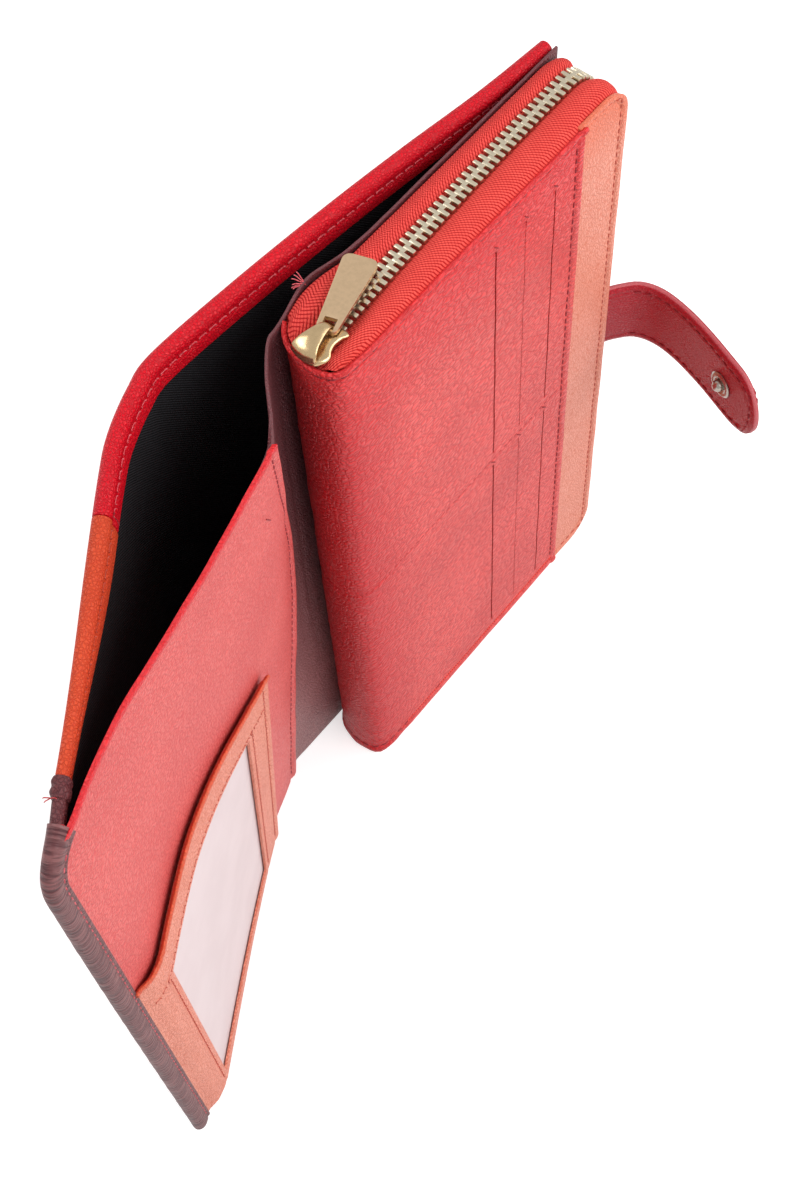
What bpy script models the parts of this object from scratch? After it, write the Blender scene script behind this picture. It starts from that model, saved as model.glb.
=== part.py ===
# A travel wallet that stands open on its short side: a zip compartment, and a cover that folds round it.
# Run it with: blender --background --python part.py
# Metres, +Z up. The zip compartment's front faces -Y, its spine is at -X and its open edge at +X.
# The wallet's long side is upright. The cover starts behind the compartment, bends round the spine
# and ends in a free edge at -X, with a bill pocket that gapes at the top between its two skins.

import math

import bmesh
import bpy
from mathutils import Matrix, Vector

# The wallet
HEIGHT = 0.190  # long side, upright here
CASE_WIDTH = 0.102  # zip compartment, spine to open edge
CASE_DEPTH = 0.0185  # zip compartment, front face to the liner behind it
COVER_REACH = 0.104  # front cover, from its fold to its free edge
FOLD_REACH = 0.0161  # how far the fold at the foot lies outside the compartment
CLOSING_TURN = math.radians(152)  # from this open stance to the closed wallet
MOUTH = 0.030  # how wide the bill pocket gapes at the top of the spine
BACK_FLARE = 0.0117  # how far the back cover leans away from the compartment at the top
FOOT_BOW = 0.0028  # how far the front cover's foot bows outward

# Skins, from the inside out, and the gap that neighbours keep
LEATHER = 0.0010
LINER = 0.0007
CLOTH = 0.0003
BOARD = 0.0005
GAP = 0.0003

# Turned edges
TURN_LENGTH = 0.0075  # how far a turned edge comes down inside
CORNER = 0.0080  # round corner at the top of the free edge
BINDING_REACH = 0.0050  # how far the free edge's binding reaches over each face

# Colour bands of the cover, measured back from the free edge
AUBERGINE_BAND = 0.0170
ORANGE_BAND = 0.0556
FRONT_BOARD_REACH = 0.0850  # stiff part of the front cover
EDGE_MARGIN = 0.0020  # how far the skins stop short of the compartment's open edge
SPINE_LIP = 0.0040  # where the back's stiff skins end beside the compartment's spine

# Pocket panel and the identity pocket on it, measured back from the free edge
PANEL_UNDERLAP = 0.0050
FRAME_REACH = 0.0822
WINDOW_NEAR = 0.0127
WINDOW_FAR = 0.0692
WINDOW_FOOT = 0.0055
FRAME_LIFT = 0.0012
FRAME_BAND = 0.0172  # leather between the mouth and the window
WINDOW_LAP = 0.0025
MOUTH_HEIGHT = 0.1100
MOUTH_RISE = 0.0110
FRAME_THICK = 0.0008
WINDOW_THICK = 0.0003

# Front leaf of the zip compartment
ORANGE_STRIP_WIDTH = 0.0170
LEAF_HINGE = 0.0030
CASE_CORNER = 0.0090
ORANGE_SETBACK = 0.0005
SLIT_WIDTH = 0.0006
SLIT_SETBACKS = (0.0315, 0.0208, 0.0100)  # back from the red panel's right edge
SLIT_TOP_MARGIN = 0.0118
SLIT_MIDDLE_GAP = 0.0027
SLIT_FOOT_MARGIN = 0.0068
CARD_POCKET_WIDTH = 0.0405
CARD_MARGIN = 0.0045
LINING_MARGIN = 0.0065

# Zip
TAPE_THICK = 0.0005
TAPE_CROWN = 0.0011  # how high the tapes rise beside the chain
TAPE_VALLEY = 0.0012  # how deep they lie under it
TAPE_TUCK = 0.0012
CHAIN_START_SETBACK = 0.0030  # how much nearer to the front the chain runs where the zip starts
CHAIN_MIDDLE = 0.0100
CHAIN_HALF = 0.0031
CHAIN_BEAD = 0.0012
CHAIN_HEIGHT = 0.0015
ROW_GAP = 0.0003
TOOTH_STEP = 0.0020  # a tooth block, and the same again to the next
ZIP_START = 0.0052
CHAIN_START = 0.0135
FOOT_INSET = 0.0018
SIDE_INSET = 0.0006

# Zip slider and puller
SLIDER_LENGTH = 0.0092
SLIDER_WIDTH = 0.0086
SLIDER_NECK = 0.0068
SLIDER_PLATE = 0.0010
SLIDER_CORNER = 0.0018
FLANGE = 0.0005
FLANGE_DEPTH = 0.0004  # how far the slider's flanges come down beside the teeth
SLIDER_PARK = 0.0022  # left end of the parked slider
BAIL_WIDTH = 0.0014
BAIL_THICK = 0.0008
BAIL_OPENING = 0.0023
BAIL_LENGTH = 0.0066
BAIL_SETBACK = 0.0008
PULLER_TURN = math.radians(15.7)
PULLER_TILT = math.radians(-3.0)
PULLER_LENGTH = 0.0205
PULLER_NARROW = 0.0046
PULLER_WIDE = 0.0088
PULLER_THICK = 0.0011
PULLER_SLOT = 0.0030
PULLER_SLOT_LENGTH = 0.0027
PULLER_BAR = 0.0010
PULLER_CORNER = 0.0018

# Closing strap
STRAP_WIDTH = 0.0220
STRAP_MIDDLE = 0.1000  # height of its centre line
STRAP_SKIN = 0.0010
STRAP_REACH = 0.0575
STRAP_ANCHOR = 0.0095
STRAP_BEND = 0.0030
STRAP_ROOT = 0.0085
SNAP_FROM_TIP = 0.0150
STUD_RADIUS = 0.0038
STUD_BALL = 0.0017
STUD_POST = 0.0011
STUD_STAND = 0.0024
STUD_RIM = 0.0006
CAP_RADIUS = 0.0050
CAP_DOME = 0.0012
SOCKET_RADIUS = 0.0048
SOCKET_HEIGHT = 0.0012
SOCKET_HOLE = 0.0022
SOCKET_FROM_EDGE = 0.0230

# Shapes of the paths, as shares of the sizes they follow
FOOT_COVER_SHARES = ((0.0, 0.0), (0.10, -0.57), (0.23, -1.0), (0.46, -0.89), (0.68, -0.54), (1.0, 0.1))
HEAD_INNER_SHARES = (
    (-0.133, 0.270), (-0.065, 0.335), (0.0, 0.415), (0.045, 0.465), (0.11, 0.470), (0.208, 0.400),
    (0.333, 0.303), (0.52, 0.140), (0.69, -0.020), (0.87, -0.110), (1.0, -0.095),
)
HEAD_BACK_SHARES = ((0.78, 0.17), (0.55, 0.46), (0.32, 0.70), (0.064, 0.90), (-0.166, 1.0))
HEAD_OUTER_SHARES = (
    (0.015, -0.453), (0.123, -0.487), (0.214, -0.460), (0.407, -0.360), (0.648, -0.223),
    (0.837, -0.133), (1.0, -0.095),
)
PANEL_EDGE_SHARES = ((0.0, 0.983), (0.30, 1.010), (0.51, 1.056), (0.66, 1.069), (0.79, 1.020), (0.90, 0.965), (1.0, 0.928))
MOUTH_SHARES = ((0.0, 0.04), (0.12, 0.0), (0.25, 0.32), (0.48, 1.0), (0.68, 1.0), (1.0, 0.0))
WRAP_SHARES = (
    (0.0265, 0.0), (0.0205, 0.0), (0.0085, 0.075), (0.0, 0.30), (0.003, 0.50), (0.015, 0.75), (0.034, 0.93),
)
STRAP_SHARES = (
    (0.0, 0.0), (0.030, -0.006), (0.090, -0.045), (0.155, -0.110), (0.180, -0.210), (0.165, -0.340),
    (0.120, -0.500), (0.060, -0.660), (0.005, -0.800), (-0.045, -0.890),
)
ROW_SHARES = (0.0, 0.17, 0.34, 0.51, 0.66, 0.79, 0.9)
CORNER_SHARES = (0.6, 0.3, 0.12)
FINE = 24  # steps of a smooth path between two of its points

# Worked out
SKIN_STACK = LEATHER + LINER + CLOTH + BOARD + LEATHER + 4 * GAP
INNER_Y = CASE_DEPTH - LEATHER - GAP
BOARD_INSET = LEATHER + GAP
CLOTH_INSET = BOARD_INSET + BOARD + GAP
TURN_INSET = CLOTH_INSET + CLOTH + 2 * GAP + LEATHER
TURN_RADIUS = TURN_INSET / 2
TURN_STACK = TURN_INSET + GAP + LEATHER  # the turned edge with the pocket panel inside it
TURN_Y = CASE_DEPTH + LINER + GAP + TURN_INSET  # the turned edge behind the compartment's liner
RED_PANEL_REACH = CASE_WIDTH - ORANGE_STRIP_WIDTH
COVER_HEADING = 2 * math.pi - CLOSING_TURN
RED_JOINT = AUBERGINE_BAND + ORANGE_BAND
BACK_LENGTH = CASE_WIDTH - EDGE_MARGIN - SPINE_LIP
STRAP_THICK = 2 * STRAP_SKIN + GAP
STRAP_Y = ORANGE_SETBACK + LEATHER + GAP + STRAP_THICK / 2
CHAIN_LIFT = GAP - TAPE_VALLEY
VALLEY_HALF = CHAIN_HALF + GAP + FLANGE + GAP
CHAIN_SLOPE = math.atan2(CHAIN_START_SETBACK, CASE_WIDTH)
FACES_OF_A_ROUND = 20


def clear_scene():
    for thing in list(bpy.data.objects):
        bpy.data.objects.remove(thing, do_unlink=True)


def new_collection(name):
    group = bpy.data.collections.new(name)
    bpy.context.scene.collection.children.link(group)
    return group


def finish(name, colour, roughness, metallic=0.0):
    """A plain Principled material in the piece's own colour."""
    material = bpy.data.materials.new(name)
    material.use_nodes = True
    shader = material.node_tree.nodes["Principled BSDF"]
    shader.inputs["Base Color"].default_value = (*colour, 1.0)
    shader.inputs["Roughness"].default_value = roughness
    shader.inputs["Metallic"].default_value = metallic
    material.diffuse_color = (*colour, 1.0)
    return material


def red_leather(name):
    return finish(name, (0.62, 0.045, 0.055), 0.45)


def orange_leather(name):
    return finish(name, (0.75, 0.26, 0.14), 0.45)


def aubergine_leather(name):
    return finish(name, (0.12, 0.045, 0.05), 0.45)


def black_cloth(name):
    return finish(name, (0.012, 0.012, 0.014), 0.85)


def grey_board(name):
    return finish(name, (0.35, 0.30, 0.26), 0.9)


def zip_cloth(name):
    return finish(name, (0.80, 0.07, 0.05), 0.8)


def gold_metal(name):
    return finish(name, (0.62, 0.50, 0.33), 0.28, 1.0)


def nickel_metal(name):
    return finish(name, (0.66, 0.62, 0.58), 0.22, 1.0)


def clear_plastic(name):
    return finish(name, (0.80, 0.76, 0.75), 0.3)


# A path is a smooth plan curve, walked by its length. Its left side is the wallet's inside.


class Path:
    def __init__(self, points):
        self.points = smooth(points)
        self.lengths = [0.0]
        for here, there in zip(self.points, self.points[1:]):
            self.lengths.append(self.lengths[-1] + (there - here).length)
        self.total = self.lengths[-1]

    def place(self, distance, inset=0.0):
        """The point at this distance from the start, moved to the left by the inset."""
        last = len(self.points) - 2
        step = 0
        while step < last and self.lengths[step + 1] < distance:
            step += 1
        here, there = self.points[step], self.points[step + 1]
        share = (distance - self.lengths[step]) / (self.lengths[step + 1] - self.lengths[step])
        before = self.points[max(step - 1, 0)]
        after = self.points[min(step + 2, len(self.points) - 1)]
        heading = (there - before).lerp(after - here, share).normalized()
        return here.lerp(there, share) + inset * Vector((-heading.y, heading.x))

    def from_end(self, distance, inset=0.0):
        return self.place(self.total - distance, inset)


def smooth(points):
    """A smooth line through the points, with FINE steps between two of them."""
    ends = [2 * points[0] - points[1], *points, 2 * points[-1] - points[-2]]
    line = []
    for a, b, c, d in zip(ends, ends[1:], ends[2:], ends[3:]):
        for step in range(FINE):
            u = step / FINE
            line.append(
                0.5 * (2 * b + u * (c - a) + u * u * (2 * a - 5 * b + 4 * c - d) + u**3 * (3 * b - a - 3 * c + d))
            )
    return [*line, points[-1]]


def heading_vector(angle):
    return Vector((math.cos(angle), math.sin(angle)))


def cover_place(along, inward):
    """A plan point of the front cover: along it from the fold at the foot, and towards the inside."""
    run = heading_vector(COVER_HEADING)
    return Vector((-FOLD_REACH, INNER_Y)) + along * run + inward * Vector((-run.y, run.x))


def foot_path(inset):
    """The cover's line on the ground, moved outward by the inset's negative."""
    back = [
        Vector((CASE_WIDTH - EDGE_MARGIN, INNER_Y)),
        Vector((CASE_WIDTH / 2, INNER_Y)),
        Vector((SPINE_LIP, INNER_Y)),
        Vector((-FOLD_REACH / 2, INNER_Y)),
    ]
    front = [cover_place(a * COVER_REACH, b * FOOT_BOW) for a, b in FOOT_COVER_SHARES]
    inner = Path(back + front)
    count = 40
    return Path([inner.place(inner.total * k / count, inset) for k in range(count + 1)])


def head_inner_path():
    """The top line of the liner and of the pocket panel."""
    back = [
        Vector((CASE_WIDTH - EDGE_MARGIN, INNER_Y)),
        Vector((CASE_WIDTH / 2, INNER_Y)),
        Vector((SPINE_LIP, INNER_Y)),
    ]
    return Path(back + [cover_place(a * COVER_REACH, b * MOUTH) for a, b in HEAD_INNER_SHARES])


def head_outer_path():
    """The top line of the cover's outer skin, which leans away from the compartment."""
    start = Vector((CASE_WIDTH - EDGE_MARGIN, TURN_Y))
    back = [Vector((a * CASE_WIDTH, TURN_Y + b * BACK_FLARE)) for a, b in HEAD_BACK_SHARES]
    front = [cover_place(a * COVER_REACH, b * MOUTH - TURN_STACK) for a, b in HEAD_OUTER_SHARES]
    return Path([start, *back, *front])


def between(foot, head, low, high, z, inset):
    """A point of the ruled skin between a foot path and a head path, low and high along them from the end."""
    a = foot.from_end(low, inset)
    b = head.from_end(high, inset)
    plan = a.lerp(b, z / HEIGHT)
    return Vector((plan.x, plan.y, z))


def link(thing, group, material):
    group.objects.link(thing)
    thing.data.materials.append(material)
    return thing


def solidify(thing, thickness, offset=-1.0):
    wall = thing.modifiers.new("wall", "SOLIDIFY")
    wall.thickness = thickness
    wall.offset = offset
    wall.use_even_offset = True


def skin(name, rows, thickness, material, group, is_hole=None):
    """A leather or cloth sheet: rows of points from the foot up, given a wall on its inner side."""
    mesh = bmesh.new()
    lattice = [[mesh.verts.new(point) for point in row] for row in rows]
    for j, (low, high) in enumerate(zip(lattice, lattice[1:])):
        for i in range(len(low) - 1):
            if is_hole and is_hole(i, j):
                continue
            mesh.faces.new((low[i], low[i + 1], high[i + 1], high[i]))
    data = bpy.data.meshes.new(name)
    loose = [v for v in mesh.verts if not v.link_faces]
    bmesh.ops.delete(mesh, geom=loose, context="VERTS")
    mesh.to_mesh(data)
    mesh.free()
    thing = link(bpy.data.objects.new(name, data), group, material)
    solidify(thing, thickness)
    return thing


def corner_drop(distance):
    """How much lower the cover's top is near the free edge, where its corner is round."""
    if distance >= CORNER:
        return 0.0
    return CORNER - math.sqrt(CORNER**2 - (CORNER - distance) ** 2)


def turned_rows(top):
    """Heights and insets of an outer skin whose top edge is turned over the skins inside it."""
    rows = [(share * top, 0.0) for share in ROW_SHARES]
    for step in range(5):
        angle = math.pi * step / 4
        rows.append((top - TURN_RADIUS + TURN_RADIUS * math.sin(angle), TURN_RADIUS * (1 - math.cos(angle))))
    rows.append((top - TURN_LENGTH, TURN_INSET))
    return rows


def straight_rows(top):
    return [(share * top, 0.0) for share in (*ROW_SHARES, 1.0)]


def spaced(start, end, count):
    return [start + (end - start) * k / count for k in range(count + 1)]


def cover_skin(name, lows, highs, thickness, material, group, inset=0.0, turned=False, drop=0.0, round_corner=False):
    """A sheet of the outer cover, with its places along the foot and along the head from the free edge."""
    foot, head = foot_path(-SKIN_STACK), head_outer_path()
    columns = []
    for low, high in zip(lows, highs):
        top = HEIGHT - drop - (corner_drop(high) if round_corner else 0.0)
        rows = turned_rows(top) if turned else straight_rows(top)
        columns.append([between(foot, head, low, high, z, inset + extra) for z, extra in rows])
    return skin(name, [list(row) for row in zip(*columns)], thickness, material, group)


def add_back_cover(parts):
    foot, head = foot_path(-SKIN_STACK), head_outer_path()
    lows = spaced(foot.total, foot.total - BACK_LENGTH, 8)
    highs = spaced(head.total, head.total - BACK_LENGTH, 8)
    under = TURN_RADIUS
    cover_skin("back_outer_leather", lows, highs, LEATHER, red_leather("back_outer_leather"), parts, turned=True)
    cover_skin("back_board", lows, highs, BOARD, grey_board("back_board"), parts, BOARD_INSET, drop=under)
    cover_skin("back_lining", lows, highs, CLOTH, black_cloth("back_lining"), parts, CLOTH_INSET, drop=under)
    width = BACK_LENGTH
    material = aubergine_leather("liner_back_panel")
    flat_sheet("liner_back_panel", SPINE_LIP, SPINE_LIP + width, 0.0, HEIGHT, CASE_DEPTH, LINER, material, parts)


def add_spine(parts):
    foot, head = foot_path(-SKIN_STACK), head_outer_path()
    under = TURN_RADIUS
    low_start, high_start = foot.total - BACK_LENGTH - GAP, head.total - BACK_LENGTH - GAP
    lows, highs = spaced(low_start, RED_JOINT + GAP, 12), spaced(high_start, RED_JOINT + GAP, 12)
    cover_skin("spine_outer_leather", lows, highs, LEATHER, red_leather("spine_outer_leather"), parts, turned=True)
    lows = spaced(low_start, FRONT_BOARD_REACH + GAP, 12)
    highs = spaced(high_start, FRONT_BOARD_REACH + GAP, 12)
    cover_skin("spine_lining", lows, highs, CLOTH, black_cloth("spine_lining"), parts, CLOTH_INSET, drop=under)
    inner_foot, inner_head = foot_path(0.0), head_inner_path()
    outer_face = -(LEATHER + GAP + LINER)
    rows = []
    for share in (*ROW_SHARES, 1.0):
        z = share * HEIGHT
        edge = panel_edge(z)
        near = edge - PANEL_UNDERLAP
        low = [*spaced(inner_foot.total - BACK_LENGTH - GAP, edge, 11), near]
        high = [*spaced(inner_head.total - BACK_LENGTH - GAP, edge, 11), near]
        rows.append([between(inner_foot, inner_head, a, b, z, outer_face) for a, b in zip(low, high)])
    skin("spine_liner", rows, LINER, aubergine_leather("spine_liner"), parts)


def panel_edge(z):
    """Where the pocket panel's stitched edge lies at this height, back from the free edge."""
    path = Path([Vector((a * HEIGHT, b * COVER_REACH)) for a, b in PANEL_EDGE_SHARES])
    for point, after in zip(path.points, path.points[1:]):
        if after.x >= z:
            return point.y + (after.y - point.y) * (z - point.x) / (after.x - point.x)
    return path.points[-1].y


def add_front_cover(parts):
    under = TURN_RADIUS
    orange = spaced(RED_JOINT, AUBERGINE_BAND + GAP, 6)
    aubergine = spaced(AUBERGINE_BAND, CORNER, 2) + [CORNER * s for s in CORNER_SHARES]
    stiff = spaced(FRONT_BOARD_REACH, CORNER, 8)
    material = orange_leather("cover_orange_leather")
    cover_skin("cover_orange_leather", orange, orange, LEATHER, material, parts, turned=True)
    material = aubergine_leather("cover_aubergine_leather")
    cover_skin(
        "cover_aubergine_leather", aubergine, aubergine, LEATHER, material, parts, turned=True, round_corner=True
    )
    material = grey_board("cover_board")
    cover_skin("cover_board", stiff, stiff, BOARD, material, parts, BOARD_INSET, drop=under)
    material = black_cloth("cover_lining")
    cover_skin("cover_lining", stiff, stiff, CLOTH, material, parts, CLOTH_INSET, drop=under)


def add_free_edge_binding(parts):
    """A leather strip folded round the free edge, over the outer skin and the pocket panel."""
    outer_foot, outer_head = foot_path(-SKIN_STACK), head_outer_path()
    inner_foot, inner_head = foot_path(0.0), head_inner_path()
    top = HEIGHT - CORNER
    rows = []
    for share in spaced(0.0, 1.0, 8):
        z = share * top
        outer = [
            between(outer_foot, outer_head, d, d, z, -(GAP + LEATHER)) for d in (BINDING_REACH, BINDING_REACH / 2, 0.0)
        ]
        inner = [between(inner_foot, inner_head, d, d, z, GAP + LEATHER) for d in (0.0, BINDING_REACH / 2, BINDING_REACH)]
        middle = (outer[-1] + inner[0]) / 2
        out = (outer[-1] - outer[-2]).normalized()
        radius = (outer[-1] - inner[0]).length / 2
        side = (outer[-1] - middle).normalized()
        bow = [middle + radius * (math.cos(a) * side + math.sin(a) * out) for a in spaced(0.0, math.pi, 6)[1:-1]]
        rows.append([*outer, *bow, *inner])
    skin("free_edge_binding", rows, LEATHER, aubergine_leather("free_edge_binding"), parts)


def add_pocket_panel(parts):
    foot, head = foot_path(0.0), head_inner_path()
    rows = []
    for share in (*ROW_SHARES, 1.0):
        z = share * HEIGHT
        edge = panel_edge(z)
        places = [edge, *spaced(edge - PANEL_UNDERLAP, CORNER, 10), *(CORNER * s for s in CORNER_SHARES)]
        rows.append([between(foot, head, d, d, z - corner_drop(d) * share, -LEATHER) for d in places])
    skin("pocket_panel", rows, LEATHER, red_leather("pocket_panel"), parts)


def mouth_height(distance):
    """Height of the identity pocket's mouth at this distance from the free edge."""
    path = Path([Vector((a * FRAME_REACH, MOUTH_HEIGHT + b * MOUTH_RISE)) for a, b in MOUTH_SHARES])
    for point, after in zip(path.points, path.points[1:]):
        if after.x >= distance:
            return point.y + (after.y - point.y) * (distance - point.x) / (after.x - point.x)
    return path.points[-1].y


def add_identity_pocket(parts):
    """A leather frame with a clear window, sewn on the pocket panel."""
    foot, head = foot_path(0.0), head_inner_path()
    edge = BINDING_REACH + GAP
    columns = [FRAME_REACH, *spaced(WINDOW_FAR, WINDOW_NEAR, 8), edge]
    foot_z = [FRAME_LIFT, WINDOW_FOOT]
    outer_face = GAP + WINDOW_THICK + GAP
    rows = []
    for j in range(8):
        row = []
        for d in columns:
            mouth = mouth_height(d)
            if j < 2:
                z = foot_z[j]
            elif j == 7:
                z = mouth
            else:
                z = WINDOW_FOOT + (mouth - FRAME_BAND - WINDOW_FOOT) * (j - 1) / 5
            row.append(between(foot, head, d, d, z, outer_face))
        rows.append(row)
    last = len(columns) - 2
    material = orange_leather("id_pocket_frame")
    skin("id_pocket_frame", rows, FRAME_THICK, material, parts, lambda i, j: 0 < i < last and 0 < j < 6)
    rows = []
    for share in spaced(0.0, 1.0, 5):
        row = []
        for d in spaced(WINDOW_FAR + WINDOW_LAP, WINDOW_NEAR - WINDOW_LAP, 8):
            low = WINDOW_FOOT - WINDOW_LAP
            high = mouth_height(d) - FRAME_BAND + WINDOW_LAP
            row.append(between(foot, head, d, d, low + (high - low) * share, GAP))
        rows.append(row)
    skin("id_window", rows, WINDOW_THICK, clear_plastic("id_window"), parts)


# The zip compartment


def box(name, low, high, group, material=None):
    """A block between two corners, made from a cube."""
    mesh = bmesh.new()
    bmesh.ops.create_cube(mesh, size=1.0)
    size = Vector(high) - Vector(low)
    bmesh.ops.scale(mesh, vec=size, verts=mesh.verts)
    bmesh.ops.translate(mesh, vec=(Vector(high) + Vector(low)) / 2, verts=mesh.verts)
    data = bpy.data.meshes.new(name)
    mesh.to_mesh(data)
    mesh.free()
    thing = bpy.data.objects.new(name, data)
    group.objects.link(thing)
    if material:
        data.materials.append(material)
    return thing


def flat_sheet(name, left, right, low, high, front, thickness, material, group):
    return box(name, (left, front, low), (right, front + thickness, high), group, material)


def cut(thing, cutter, operation="DIFFERENCE"):
    change = thing.modifiers.new(operation.lower(), "BOOLEAN")
    change.operation = operation
    change.object = cutter
    change.solver = "EXACT"
    cutter.hide_render = True
    cutter.display_type = "WIRE"


def rounded_outline(corners):
    """Outline points from (x, z, radius) corners in order, with each radius as an arc."""
    points = []
    count = len(corners)
    for k, (x, z, radius) in enumerate(corners):
        here = Vector((x, z))
        if not radius:
            points.append(here)
            continue
        before, after = Vector(corners[k - 1][:2]), Vector(corners[(k + 1) % count][:2])
        to_before, to_after = (before - here).normalized(), (after - here).normalized()
        half = to_before.angle(to_after) / 2
        reach = radius / math.tan(half)
        centre = here + (to_before + to_after).normalized() * radius / math.sin(half)
        start, end = here + reach * to_before - centre, here + reach * to_after - centre
        turn = start.angle_signed(end)
        for step in range(7):
            angle = -turn * step / 6
            c, s = math.cos(angle), math.sin(angle)
            points.append(centre + Vector((c * start.x - s * start.y, s * start.x + c * start.y)))
    return points


def plate(name, outline, thickness, material, group, place):
    """A flat piece from an outline, extruded, welded to a mesh and set in its place."""
    curve = bpy.data.curves.new(name, "CURVE")
    curve.dimensions = "2D"
    curve.fill_mode = "BOTH"
    curve.extrude = thickness / 2
    line = curve.splines.new("POLY")
    line.points.add(len(outline) - 1)
    for point, place_2d in zip(line.points, outline):
        point.co = (place_2d.x, place_2d.y, 0.0, 1.0)
    line.use_cyclic_u = True
    source = bpy.data.objects.new(name + "_outline", curve)
    group.objects.link(source)
    bpy.context.view_layer.update()
    data = bpy.data.meshes.new_from_object(source.evaluated_get(bpy.context.evaluated_depsgraph_get()))
    bpy.data.objects.remove(source, do_unlink=True)
    mesh = bmesh.new()
    mesh.from_mesh(data)
    bmesh.ops.remove_doubles(mesh, verts=mesh.verts, dist=GAP / 100)
    bmesh.ops.recalc_face_normals(mesh, faces=mesh.faces)
    mesh.transform(place)
    mesh.to_mesh(data)
    mesh.free()
    data.name = name
    data.materials.clear()
    thing = bpy.data.objects.new(name, data)
    return link(thing, group, material)


def standing(y):
    """Turns an outline in X and Y into one that stands in X and Z at this depth."""
    return Matrix.Translation((0.0, y, 0.0)) @ Matrix.Rotation(math.pi / 2, 4, "X")


def slit_heights():
    middle = HEIGHT / 2
    return (
        (SLIT_FOOT_MARGIN, middle - SLIT_MIDDLE_GAP),
        (middle + SLIT_MIDDLE_GAP, HEIGHT - SLIT_TOP_MARGIN),
    )


def add_front_leaf(parts, cutters):
    """The front of the zip compartment: red leather with card slits, an orange strip and card pockets."""
    start = LEAF_HINGE + GAP
    panel = flat_sheet(
        "leaf_red_panel", start, RED_PANEL_REACH, 0.0, HEIGHT, 0.0, LEATHER, red_leather("leaf_red_panel"), parts
    )
    for row, (low, high) in enumerate(slit_heights()):
        for column, setback in enumerate(SLIT_SETBACKS):
            x = RED_PANEL_REACH - setback
            slit = box(
                f"slit_cutter_{row}_{column}",
                (x - SLIT_WIDTH / 2, -LEATHER, low),
                (x + SLIT_WIDTH / 2, 2 * LEATHER, high),
                cutters,
            )
            cut(panel, slit)
    left = RED_PANEL_REACH + GAP
    outline = rounded_outline(
        ((left, 0.0, 0.0), (CASE_WIDTH, 0.0, CASE_CORNER), (CASE_WIDTH, HEIGHT, CASE_CORNER), (left, HEIGHT, 0.0))
    )
    y = ORANGE_SETBACK + LEATHER / 2
    plate("leaf_orange_strip", outline, LEATHER, orange_leather("leaf_orange_strip"), parts, standing(y))
    behind = LEATHER + GAP
    for name, (low, high) in zip(("card_pocket_lower", "card_pocket_upper"), slit_heights()):
        right = RED_PANEL_REACH - CARD_MARGIN
        flat_sheet(name, right - CARD_POCKET_WIDTH, right, low, high, behind, CLOTH, black_cloth(name), parts)
    front = behind + CLOTH + GAP
    right = CASE_WIDTH - STRAP_ANCHOR - LINING_MARGIN
    material = black_cloth("compartment_lining_front")
    flat_sheet(
        "compartment_lining_front", LEAF_HINGE + LINING_MARGIN, right, LINING_MARGIN, HEIGHT - LINING_MARGIN,
        front, CLOTH, material, parts,
    )


def add_case_rear(parts):
    """The leather that wraps the compartment's spine, and the lining on its rear wall."""
    path = Path([Vector((a * CASE_WIDTH, b * CASE_DEPTH)) for a, b in WRAP_SHARES])
    columns = [path.place(d) for d in spaced(0.0, path.total, 14)]
    rows = [[Vector((p.x, p.y, share * HEIGHT)) for p in reversed(columns)] for share in (0.0, 0.5, 1.0)]
    skin("case_spine_wrap", rows, LEATHER, red_leather("case_spine_wrap"), parts)
    front = CASE_DEPTH - GAP - CLOTH
    left = SPINE_LIP + LINING_MARGIN
    material = black_cloth("compartment_lining_rear")
    flat_sheet(
        "compartment_lining_rear", left, CASE_WIDTH - LINING_MARGIN, LINING_MARGIN, HEIGHT - LINING_MARGIN,
        front, CLOTH, material, parts,
    )


def zip_line():
    """Stations of the zip round the compartment: place in X and Z, way out, distance, and the chain's Y."""
    right = CASE_WIDTH - SIDE_INSET
    corner = CASE_CORNER
    stations = []
    runs = (
        ("run", Vector((ZIP_START, HEIGHT)), Vector((right - corner, HEIGHT)), Vector((0.0, 1.0))),
        ("turn", Vector((right - corner, HEIGHT - corner)), math.pi / 2, 0.0),
        ("run", Vector((right, HEIGHT - corner)), Vector((right, FOOT_INSET + corner)), Vector((1.0, 0.0))),
        ("turn", Vector((right - corner, FOOT_INSET + corner)), 0.0, -math.pi / 2),
        ("run", Vector((right - corner, FOOT_INSET)), Vector((ZIP_START, FOOT_INSET)), Vector((0.0, -1.0))),
    )
    for kind, first, second, third in runs:
        if kind == "run":
            count = max(1, round((second - first).length / TOOTH_STEP))
            for k in range(count):
                stations.append((first.lerp(second, k / count), third))
        else:
            count = max(2, round(corner * abs(third - second) / TOOTH_STEP))
            for k in range(count):
                angle = second + (third - second) * k / count
                way = heading_vector(angle)
                stations.append((first + corner * way, way))
    stations.append((Vector((ZIP_START, FOOT_INSET)), Vector((0.0, -1.0))))
    line, distance = [], 0.0
    for k, (place, way) in enumerate(stations):
        if k:
            distance += (place - stations[k - 1][0]).length
        drift = CHAIN_START_SETBACK * (1 - place.x / CASE_WIDTH) if abs(way.y) > 0.5 else 0.0
        line.append((place, way, distance, CHAIN_MIDDLE - drift))
    return line


def add_tape(name, line, edges, material, group):
    """A zip tape: at each station a few places across it, each lifted a little for its crown."""
    rows = []
    for k, (place, way, _, middle) in enumerate(line):
        if 0 < k < len(line) - 1 and k % 4 and abs(way.x * way.y) < GAP:
            continue
        row = []
        for y, lift in reversed(edges(middle)):
            row.append(Vector((place.x + lift * way.x, y, place.y + lift * way.y)))
        rows.append(row)
    return skin(name, rows, TAPE_THICK, material, group)


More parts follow.
